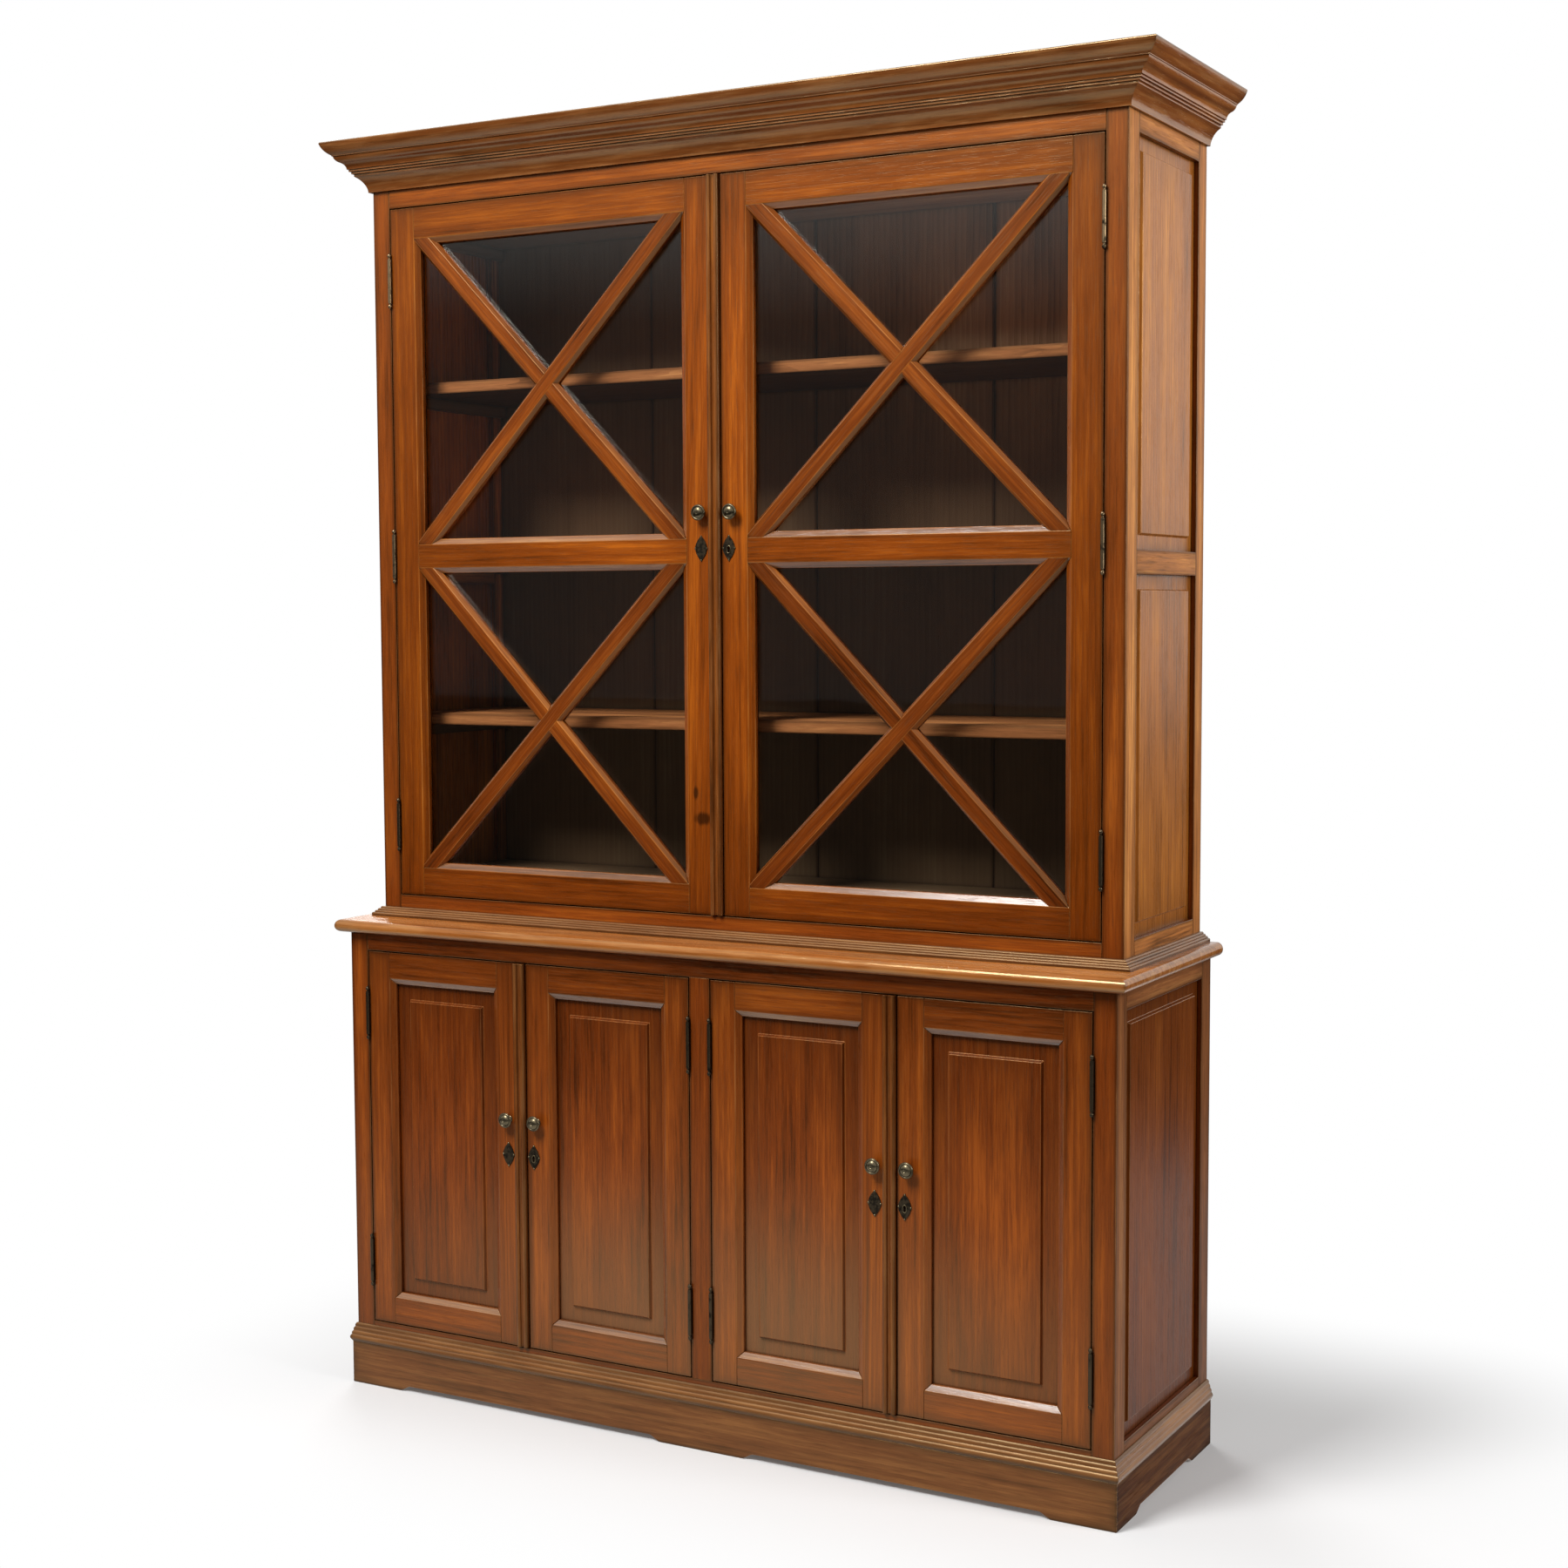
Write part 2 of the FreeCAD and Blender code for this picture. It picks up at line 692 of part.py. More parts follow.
def glazed_door(name, x0, x1, left_stile, right_stile, hinge_left):
    # Frame, crossed bars, panes and beads of one upper door.
    face_y = upper_face
    z0 = upper_bottom
    z1 = upper_top
    in0 = x0 + left_stile
    in1 = x1 - right_stile
    hinge_x = x0 - door_gap / 2 if hinge_left else x1 + door_gap / 2
    leaves, recesses, case_recesses = hang(hinge_x, face_y, upper_hinge_levels, -1 if hinge_left else 1)
    mid_low = upper_middle - upper_mid_rail / 2
    mid_high = upper_middle + upper_mid_rail / 2
    rail_levels = ((z0, z0 + upper_bottom_rail), (mid_low, mid_high), (z1 - upper_top_rail, z1))
    rear = face_y + door_thickness
    rails = []
    mortises = []
    for low, high in rail_levels:
        rail, holes = member([(in0 + joint_gap, in1 - joint_gap), (face_y, rear), (low, high)], 0, 1)
        rails.append(rail)
        mortises += holes
    stiles = [cut_all(door_stile(a, b, face_y, z0, z1), mortises) for a, b in ((x0, in0), (in1, x1))]
    lip = [(0, 0), (upper_bevel, upper_bevel_depth), (upper_bevel, glass_seat), (0, glass_seat)]
    bead_front = glass_seat + glass_thickness
    bead = [
        (0, bead_front),
        (bead_width, bead_front),
        (bead_width, door_thickness - bead_bevel),
        (bead_width - bead_bevel, door_thickness),
        (0, door_thickness),
    ]
    bars = []
    panes = []
    beads = []
    for index in range(len(rail_levels) - 1):
        low = rail_levels[index][1]
        high = rail_levels[index + 1][0]
        strips = {side: opening_strip(face_y, in0, in1, low, high, side, lip) for side in edge_sides}
        stiles[0] = stiles[0].fuse(strips["left"])
        stiles[1] = stiles[1].fuse(strips["right"])
        rails[index] = rails[index].fuse(strips["bottom"])
        rails[index + 1] = rails[index + 1].fuse(strips["top"])
        bars += crossed_bars(face_y, in0, in1, low, high)
        pane_y = (face_y + glass_seat, face_y + bead_front)
        panes.append(solid([(in0 + glass_play, in1 - glass_play), pane_y, (low, high - glass_play)]))
        beads += [opening_strip(face_y, in0, in1, low, high, side, bead) for side in strips]
    stiles = [cut_all(s, recesses) for s in stiles]
    add(name + "_cross_bars", *bars)
    add(name + "_glass", *panes)
    add(name + "_glazing_beads", *beads)
    add(name + "_hinge_leaves", *leaves)
    return stiles, rails, case_recesses


def panelled_door(name, x0, x1, left_stile, right_stile, hinge_left):
    # Frame and raised panel of one lower door.
    face_y = lower_face
    z0 = lower_bottom
    z1 = lower_top
    in0 = x0 + left_stile
    in1 = x1 - right_stile
    low = z0 + lower_rail_width
    high = z1 - lower_rail_width
    hinge_x = x0 - door_gap / 2 if hinge_left else x1 + door_gap / 2
    leaves, recesses, case_recesses = hang(hinge_x, face_y, lower_hinge_levels, -1 if hinge_left else 1)
    rear = face_y + door_thickness
    rails = []
    mortises = []
    for a, b in ((z0, low), (high, z1)):
        rail, holes = member([(in0 + joint_gap, in1 - joint_gap), (face_y, rear), (a, b)], 0, 1)
        rails.append(rail)
        mortises += holes
    stiles = [cut_all(door_stile(a, b, face_y, z0, z1), mortises) for a, b in ((x0, in0), (in1, x1))]
    b = lower_bevel
    lip = [(0, 0), (b, lower_bevel_depth), (b, door_thickness), (0, door_thickness)]
    strips = {side: opening_strip(face_y, in0, in1, low, high, side, lip) for side in edge_sides}
    shape, pocket = raised_panel(
        face_y, in0 + b, in1 - b, low + b, high - b, door_margin_depth, door_field_depth, door_margin
    )
    stiles = [stiles[0].fuse(strips["left"]), stiles[1].fuse(strips["right"])]
    rails = [rails[0].fuse(strips["bottom"]), rails[1].fuse(strips["top"])]
    stiles = [cut_all(s, recesses + [pocket]) for s in stiles]
    rails = [r.cut(pocket) for r in rails]
    add(name + "_panel", shape)
    add(name + "_hinge_leaves", *leaves)
    return stiles, rails, case_recesses


def furnish(name, meeting_x, face_y, knob_z, plate_z, is_left):
    # Knob and key plate of one leaf; only right leaves have a pierced plate.
    knob_x = meeting_x - left_knob_offset if is_left else meeting_x + right_knob_offset
    plate_x = meeting_x - left_plate_offset if is_left else meeting_x + right_plate_offset
    add(name + "_knob", knob(knob_x, face_y, knob_z))
    add(name + "_key_plate", *key_plate(plate_x, face_y, plate_z, not is_left))


def door_pair(left_name, right_name, build, x0, x1, meeting_x, stiles, face_y, levels, knob_z, plate_z):
    # Two leaves that meet at a bead: the left leaf is bolted from inside, the right leaf locks into it.
    left_edge = meeting_x - door_gap / 2
    right_edge = meeting_x + door_gap / 2
    hinge_width, left_meet, right_meet = stiles
    bottom_z, top_z = levels
    l_stiles, l_rails, l_case = build(left_name, x0, left_edge, hinge_width, left_meet, True)
    r_stiles, r_rails, r_case = build(right_name, right_edge, x1, right_meet, hinge_width, False)
    body, lock_bolt, pocket, strike = lock_parts(right_edge, face_y, plate_z)
    slip_bolt, channel, keeper = slip_parts(left_edge, face_y, top_z)
    key_depth = door_thickness - lock_depth
    key_cut = keyhole(meeting_x + right_plate_offset, face_y, key_depth, plate_z)
    l_stiles[1] = cut_all(l_stiles[1], [strike, channel])
    r_stiles[0] = cut_all(r_stiles[0], [pocket, key_cut])
    bead = astragal(left_edge, face_y, bottom_z, top_z)
    pieces = [s.removeSplitter() for s in l_stiles + l_rails]
    add(left_name + "_frame", *pieces, bead)
    add(right_name + "_frame", *[s.removeSplitter() for s in r_stiles + r_rails])
    add(right_name + "_lock", body)
    add(right_name + "_lock_bolt", lock_bolt)
    add(left_name + "_slip_bolt", slip_bolt)
    furnish(left_name, meeting_x, face_y, knob_z, plate_z, True)
    furnish(right_name, meeting_x, face_y, knob_z, plate_z, False)
    return l_case, r_case, keeper


upper_stiles = (upper_hinge_stile, upper_left_meeting_stile, upper_right_meeting_stile)
lower_stiles = (lower_hinge_stile, lower_left_meeting_stile, lower_right_meeting_stile)
inner_edge = centre_stile_width / 2 + door_gap
pair_middle = (lower_half_span + inner_edge) / 2
left_meeting = -pair_middle + lower_meeting_shift
right_meeting = pair_middle + lower_meeting_shift

upper_left_case, upper_right_case, upper_keeper = door_pair(
    "upper_left_door", "upper_right_door", glazed_door, -upper_half_span, upper_half_span, upper_meeting_x,
    upper_stiles, upper_face, (upper_bottom, upper_top), upper_middle + knob_rise, upper_plate_level,
)
outer_left_case, inner_left_case, left_keeper = door_pair(
    "lower_outer_left_door", "lower_inner_left_door", panelled_door, -lower_half_span, -inner_edge,
    left_meeting, lower_stiles, lower_face, (lower_bottom, lower_top), lower_middle + knob_rise,
    lower_plate_level,
)
inner_right_case, outer_right_case, right_keeper = door_pair(
    "lower_inner_right_door", "lower_outer_right_door", panelled_door, inner_edge, lower_half_span,
    right_meeting, lower_stiles, lower_face, (lower_bottom, lower_top), lower_middle + knob_rise,
    lower_plate_level,
)
add("hinge_case_leaves", *frame_leaves)
add("hinge_pins", *pins)


# Side frames: corner posts, rails tenoned into them, and raised panels in grooves.
def side_frame(outer, face_y, posts, rail_levels, z0, z1):
    # Right-hand side; returns posts, rails, panels and the pockets they share.
    post_width, post_depth, rear_post = posts
    front_y = face_y + post_depth
    rear_y = back_y - rear_post
    front_post = solid([(outer - post_width, outer), (face_y, front_y), (z0, z1)])
    rear = solid([(outer - side_thickness, outer), (rear_y, back_y), (z0, z1)])
    rails = []
    mortises = []
    for low, high in rail_levels:
        span = [(outer - side_thickness, outer), (front_y + joint_gap, rear_y - joint_gap), (low, high)]
        rail, holes = member(span, 1, 0)
        rails.append(rail)
        mortises += holes
    panels = []
    pockets = []
    for (_, low), (high, _) in zip(rail_levels, rail_levels[1:]):
        panel, pocket = raised_panel(
            -outer, front_y, rear_y, low, high, side_margin_depth, side_field_depth, side_margin
        )
        panels.append(quarter_turn(panel))
        pockets.append(quarter_turn(pocket))
    rails = [cut_all(r, pockets) for r in rails]
    front_post = cut_all(front_post, mortises + pockets)
    rear = cut_all(rear, mortises + pockets)
    return front_post, rear, rails, panels


upper_posts = (upper_post_width, upper_post_depth, upper_rear_post)
lower_posts = (lower_post_width, lower_post_depth, lower_rear_post)
u_front, u_rear, u_rails, u_panels = side_frame(
    upper_side, upper_face, upper_posts, upper_side_rails_z, slab_top, carcass_top
)
l_front, l_rear, l_rails, l_panels = side_frame(
    lower_side, lower_face, lower_posts, lower_side_rails_z, plinth_height, slab_bottom
)

# Front rails
upper_rail_x = upper_side - upper_post_width
lower_rail_x = lower_side - lower_post_width
upper_rail_y = (upper_face, upper_face + frame_thickness)
lower_rail_y = (lower_face, lower_face + frame_thickness)
upper_x = (-upper_rail_x + joint_gap, upper_rail_x - joint_gap)
lower_x = (-lower_rail_x + joint_gap, lower_rail_x - joint_gap)
upper_low_rail, holes_a = member([upper_x, upper_rail_y, (slab_top, upper_rail_low)], 0, 1)
upper_high_rail, holes_b = member([upper_x, upper_rail_y, (upper_rail_high, carcass_top)], 0, 1)
lower_low_rail, holes_c = member([lower_x, lower_rail_y, (plinth_height, lower_rail_low)], 0, 1)
lower_high_rail, holes_d = member([lower_x, lower_rail_y, (lower_rail_high, slab_bottom)], 0, 1)
stile_half = centre_stile_width / 2
stile_z = (lower_rail_low + joint_gap, lower_rail_high - joint_gap)
centre_stile, holes_e = member([(-stile_half, stile_half), lower_rail_y, stile_z], 2, 1)
centre_stile = cut_all(centre_stile, inner_left_case + inner_right_case)
lower_low_rail = lower_low_rail.cut(holes_e[0])
lower_high_rail = cut_all(lower_high_rail, [holes_e[1], left_keeper, right_keeper])
upper_high_rail = upper_high_rail.cut(upper_keeper)
stop_y = lower_face + frame_thickness
stop_span = [lower_x, (stop_y, stop_y + stop_depth), (lower_rail_high - stop_drop, slab_bottom)]
door_stop = solid(stop_span)
add("upper_front_rails", upper_low_rail, upper_high_rail)
add("lower_front_frame", lower_low_rail, lower_high_rail, centre_stile, door_stop)

u_front = cut_all(u_front, [holes_a[1], holes_b[1]])
l_front = cut_all(l_front, [holes_c[1], holes_d[1]])
u_front_left = cut_all(mirrored(u_front), upper_left_case)
l_front_left = cut_all(mirrored(l_front), outer_left_case)
u_front = cut_all(u_front, upper_right_case)
l_front = cut_all(l_front, outer_right_case)
add("upper_side_frames", u_front, u_front_left, *both_sides([u_rear] + u_rails))
add("lower_side_frames", l_front, l_front_left, *both_sides([l_rear] + l_rails))
add("upper_side_panels", *both_sides(u_panels))
add("lower_side_panels", *both_sides(l_panels))


# Boards
def upright_boards(half_width, z0, z1):
    # Back of upright boards, their meeting edges chamfered towards the inside.
    width = 2 * half_width / back_board_count
    front = back_y - back_thickness
    found = []
    for i in range(back_board_count):
        x0 = -half_width + width * i + back_play / 2
        x1 = x0 + width - back_play
        plan = [(x0, back_y), (x0, front + back_vee), (x0 + back_vee, front)]
        plan += [(x1 - back_vee, front), (x1, front + back_vee), (x1, back_y)]
        found.append(plan_prism(plan, z0, z1))
    return found


def flat_board(half_width, front_y, top_z):
    along = (front_y, back_y - back_thickness)
    return solid([(-half_width, half_width), along, (top_z - board_thickness, top_z)])


def shelf(half_width, face_y, top_z):
    front_y = face_y + shelf_setback
    board = flat_board(half_width - shelf_play, front_y, top_z)
    long_edges = [e for e in board.Edges if e.Length > half_width]
    front = [e for e in long_edges if abs(e.CenterOfMass.y - front_y) < joint_gap]
    return board.makeFillet(shelf_edge_radius, front)


def notched_board(half_width, face_y, top_z, post_inner, post_depth):
    # Full-depth board cut round the front posts.
    board = flat_board(half_width - shelf_play, face_y + frame_thickness, top_z)
    low = top_z - board_thickness
    notch_x = (post_inner - shelf_play, half_width)
    notch = solid([notch_x, (face_y, face_y + post_depth + shelf_play), (low, top_z)])
    return board.cut(notch).cut(mirrored(notch))


def cleat(inner, face_y, post_depth, under_z):
    along = (face_y + post_depth, back_y - back_thickness)
    return solid([(inner - cleat_width, inner), along, (under_z - cleat_height, under_z)])


upper_back = upright_boards(upper_inner, slab_top, carcass_top)
lower_back = upright_boards(lower_inner, plinth_height, slab_bottom)
add("back_boards", *upper_back, *lower_back)
upper_floor = notched_board(upper_inner, upper_face, upper_floor_top, upper_rail_x, upper_post_depth)
ceiling = notched_board(upper_inner, upper_face, ceiling_top, upper_rail_x, upper_post_depth)
lower_floor = notched_board(lower_inner, lower_face, lower_floor_top, lower_rail_x, lower_post_depth)
dust_top = carcass_top + dust_thickness
dust = solid([(-upper_side, upper_side), (upper_face, back_y), (carcass_top, dust_top)])
add("case_boards", lower_floor, upper_floor, ceiling, dust)
upper_shelves = [shelf(upper_inner, upper_face, z) for z in board_levels[1:]]
add("shelves", shelf(lower_inner, lower_face, lower_shelf_top), *upper_shelves)
cleats = []
for z in board_levels + [ceiling_top]:
    cleats.append(cleat(upper_inner, upper_face, upper_post_depth, z - board_thickness))
for z in (lower_floor_top, lower_shelf_top):
    cleats.append(cleat(lower_inner, lower_face, lower_post_depth, z - board_thickness))
add("shelf_cleats", *both_sides(cleats))

# Waist slab with rounded front and side edges
slab_front = lower_face - slab_overhang
slab_half = lower_side + slab_overhang
slab = solid([(-slab_half, slab_half), (slab_front, back_y), (slab_bottom, slab_top)])


def rim_edges(shape, level):
    found = []
    for e in shape.Edges:
        flat = all(abs(v.Point.z - level) < joint_gap for v in e.Vertexes)
        at_back = all(abs(v.Point.y - back_y) < joint_gap for v in e.Vertexes)
        if flat and not at_back:
            found.append(e)
    return found


slab = slab.makeFillet(slab_top_radius, rim_edges(slab, slab_top))
slab = slab.makeFillet(slab_bottom_radius, rim_edges(slab, slab_bottom))
add("waist_slab", slab)

# Mouldings, each a front length and two mitred returns
waist_path = [(0, 0), (waist_projection, 0), (waist_projection, waist_lip)]
waist_path += reeded((waist_projection, waist_lip), (waist_lip, waist_height), waist_reeds, waist_bulge)
waist_path += [(0, waist_height)]
waist_reach = waist_projection + waist_bulge
add("waist_moulding", *mitred_run(waist_path, upper_side, upper_face, slab_top, waist_reach))

base_projection = plinth_projection + base_overhang
base_path = [(0, 0), (plinth_projection, 0), (base_projection, base_nose)]
base_path += reeded((base_projection, base_nose), (base_lip, base_moulding_height), base_reeds, base_bulge)
base_path += [(0, base_moulding_height)]
base_reach = base_projection + base_bulge
add("base_moulding", *mitred_run(base_path, lower_side, lower_face, plinth_height, base_reach))

cornice_shares = [
    (0.0, 0.0),
    (0.09, 0.0),
    (0.092, 0.037),
    (0.167, 0.187, 0.35, 0.323),
    (0.35, 0.37),
    (0.402, 0.37),
    (0.402, 0.418),
    (0.45, 0.418),
    (0.45, 0.461),
    (0.485, 0.461),
    (0.519, 0.542, 0.615, 0.599),
    (0.699, 0.647, 0.739, 0.72),
    (0.765, 0.72),
    (0.765, 0.735),
    (0.914, 0.835, 1.0, 0.967),
    (0.9875, 0.99, 0.958, 1.0),
    (0.0, 1.0),
]


def scaled(step):
    return tuple(v * (cornice_projection, cornice_height)[i % 2] for i, v in enumerate(step))


cornice_path = [scaled(step) for step in cornice_shares]
cornice = mitred_run(cornice_path, upper_side, upper_face, cornice_bottom, cornice_projection)
add("cornice_moulding", *cornice)

# Plinth: boards mitred at the front corners, cut away between low feet with S-shaped ramps
ramp_shares = ((0.0, 0.0), (0.22, 0.08), (0.5, 0.5), (0.78, 0.92), (1.0, 1.0))


def ramp(start, sign, place):
    points = [place(start + sign * a * foot_ramp, b * foot_cut_height) for a, b in ramp_shares]
    curve = Part.BSplineCurve()
    curve.interpolate(points)
    return curve.toShape()


def plinth_outline(a0, a1, cuts, place):
    # Board seen on its face from a0 to a1, with a shallow cut under each (from, to).
    edges = []
    last = place(a0, 0)
    for start, end in cuts:
        edges.append(Part.makeLine(last, place(start, 0)))
        edges.append(ramp(start, 1, place))
        cut_from = place(start + foot_ramp, foot_cut_height)
        edges.append(Part.makeLine(cut_from, place(end - foot_ramp, foot_cut_height)))
        edges.append(ramp(end, -1, place))
        last = place(end, 0)
    edges.append(Part.makeLine(last, place(a1, 0)))
    edges.append(Part.makeLine(place(a1, 0), place(a1, plinth_height)))
    edges.append(Part.makeLine(place(a1, plinth_height), place(a0, plinth_height)))
    edges.append(Part.makeLine(place(a0, plinth_height), place(a0, 0)))
    return Part.Face(Part.Wire(Part.__sortEdges__(edges)))


plinth_half = lower_side + plinth_projection
plinth_face = lower_face - plinth_projection
inside_x = plinth_half - plinth_thickness
inside_y = plinth_face + plinth_thickness
centre_half = centre_foot / 2
front_cuts = ((-plinth_half + front_foot, -centre_half), (centre_half, plinth_half - front_foot))
front_board = plinth_outline(-plinth_half, plinth_half, front_cuts, lambda a, h: V(a, plinth_face, h))
front_board = front_board.extrude(V(0, plinth_thickness, 0))
front_plan = [(-plinth_half, plinth_face), (plinth_half, plinth_face)]
front_plan += [(inside_x - joint_gap, inside_y), (-inside_x + joint_gap, inside_y)]
front_board = front_board.common(plan_prism(front_plan, 0, plinth_height))
side_cuts = ((plinth_face + side_front_foot, back_y - side_rear_foot),)
side_board = plinth_outline(plinth_face, back_y, side_cuts, lambda a, h: V(plinth_half, a, h))
side_board = side_board.extrude(V(-plinth_thickness, 0, 0))
side_plan = [(plinth_half, plinth_face + joint_gap), (plinth_half, back_y)]
side_plan += [(inside_x, back_y), (inside_x, inside_y)]
side_board = side_board.common(plan_prism(side_plan, 0, plinth_height))
rear_x = (-inside_x + joint_gap, inside_x - joint_gap)
rear_board = solid([rear_x, (back_y - plinth_thickness, back_y), (foot_cut_height, plinth_height)])
add("plinth_boards", front_board, side_board, mirrored(side_board), rear_board)

for name, shape in nodes.items():
    shape.exportStep("parts/" + name + ".step")
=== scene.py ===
import json
import math

import bpy
import numpy as np
from mathutils import Matrix, Vector


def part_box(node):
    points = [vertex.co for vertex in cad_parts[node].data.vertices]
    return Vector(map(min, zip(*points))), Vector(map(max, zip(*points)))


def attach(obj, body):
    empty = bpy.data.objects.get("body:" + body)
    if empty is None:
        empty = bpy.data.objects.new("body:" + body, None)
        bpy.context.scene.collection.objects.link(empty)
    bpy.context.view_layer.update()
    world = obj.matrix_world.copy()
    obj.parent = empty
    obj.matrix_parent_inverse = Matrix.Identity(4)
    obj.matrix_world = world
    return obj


# Tall two-stage teak bookcase: glazed doors with crossed bars over two pairs of panelled doors.
# The solids come packed from the drawing; here they get their timber, fittings and light.
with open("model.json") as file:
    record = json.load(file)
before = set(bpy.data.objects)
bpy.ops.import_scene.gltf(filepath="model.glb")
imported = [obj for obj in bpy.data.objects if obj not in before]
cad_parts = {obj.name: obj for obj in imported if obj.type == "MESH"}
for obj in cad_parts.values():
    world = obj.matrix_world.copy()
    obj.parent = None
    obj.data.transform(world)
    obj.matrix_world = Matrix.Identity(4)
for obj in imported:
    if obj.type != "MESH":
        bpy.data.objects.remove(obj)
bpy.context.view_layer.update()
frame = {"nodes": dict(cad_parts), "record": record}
nodes = frame["nodes"]


# Plinth.
# Four stained teak boards on edge, mitred at the front corners and sawn away between low feet.
# The stain has gone grey and the feet are scuffed pale where brooms and shoes have met them.

def colour(red, green, blue):
    """A colour as it is read off a screen, 0 to 255, made linear for a shader."""
    parts = [c / 255 for c in (red, green, blue)]
    return tuple(c / 12.92 if c <= 0.04045 else ((c + 0.055) / 1.055) ** 2.4 for c in parts) + (1.0,)


def dimmed(tint, share):
    return tuple(c * share for c in tint[:3]) + (1.0,)


class Tone:
    """A socket in a finish. Sums of tones add Math nodes; any other node comes from node()."""

    def __init__(self, tree, socket=None):
        self.tree = tree
        self.socket = socket

    def node(self, kind, settings=(), inputs=(), output=0):
        made = self.tree.nodes.new("ShaderNode" + kind)
        for name, value in dict(settings).items():
            setattr(made, name, value)
        for name, value in dict(inputs).items():
            if isinstance(value, Tone):
                self.tree.links.new(value.socket, made.inputs[name])
            else:
                made.inputs[name].default_value = value
        return Tone(self.tree, made.outputs[output])

    def maths(self, operation, first, second):
        return self.node("Math", {"operation": operation}, {0: first, 1: second})

    def __add__(self, other):
        return self.maths("ADD", self, other)

    __radd__ = __add__

    def __sub__(self, other):
        return self.maths("SUBTRACT", self, other)

    def __rsub__(self, other):
        return self.maths("SUBTRACT", other, self)

    def __mul__(self, other):
        return self.maths("MULTIPLY", self, other)

    __rmul__ = __mul__

    def swing(self, share):
        """This pattern of 0 to 1 made to swing round 0, half the share each way."""
        return (self - 0.5) * share

    def within(self, low, high):
        """0 below low, 1 above high, smooth between; high may be the lower of the two."""
        ends = {"From Min": low, "From Max": high}
        return self.node("MapRange", {"interpolation_type": "SMOOTHSTEP"}, {"Value": self, **ends})

    def mix(self, off, on):
        """One colour where this tone is 0 and the other where it is 1."""
        return self.node("Mix", {"data_type": "RGBA"}, {0: self, 6: off, 7: on}, 2)

    def vector(self, operation, other=(0, 0, 0)):
        """Arithmetic on this vector; only its length is a plain number."""
        output = "Value" if operation == "LENGTH" else 0
        return self.node("VectorMath", {"operation": operation}, {0: self, 1: other}, output)

    def scaled(self, along, across, through):
        """This vector stretched, for patterns that run along a board."""
        return self.vector("MULTIPLY", (along, across, through))

    def part(self, axis):
        return self.node("SeparateXYZ", {}, {0: self}, axis)

    def from_spot(self, x, z, wide, tall):
        """How far this place on the front is from the middle of an oval spot, 1 at its rim."""
        return self.vector("SUBTRACT", (x, 0, z)).scaled(1 / wide, 0, 1 / tall).vector("LENGTH")

    def noise(self, scale=1.0, detail=2.0, roughness=0.5):
        sizes = {"Scale": scale, "Detail": detail, "Roughness": roughness}
        return self.node("TexNoise", {}, {"Vector": self, **sizes})

    def bump(self, strength, distance):
        """A surface normal that rises and falls with this tone."""
        sizes = {"Strength": strength, "Distance": distance}
        return self.node("Bump", {}, {"Height": self, **sizes})


def finish_of(name, **even):
    """A new finish, its shader with the even values set, and a first tone to build on."""
    made = bpy.data.materials.new(name)
    made.use_nodes = True
    shader = made.node_tree.nodes["Principled BSDF"]
    for socket, value in even.items():
        shader.inputs[socket.replace("_", " ")].default_value = value
    return made, shader, Tone(made.node_tree)


def feed(shader, **tones):
    for socket, tone in tones.items():
        tone.tree.links.new(tone.socket, shader.inputs[socket.replace("_", " ")])


varnish_tint = (1.0, 0.75, 0.4, 1.0)
golden_lift = (1.8, 2.15, 2.1)
worn_gold = colour(196, 138, 82)


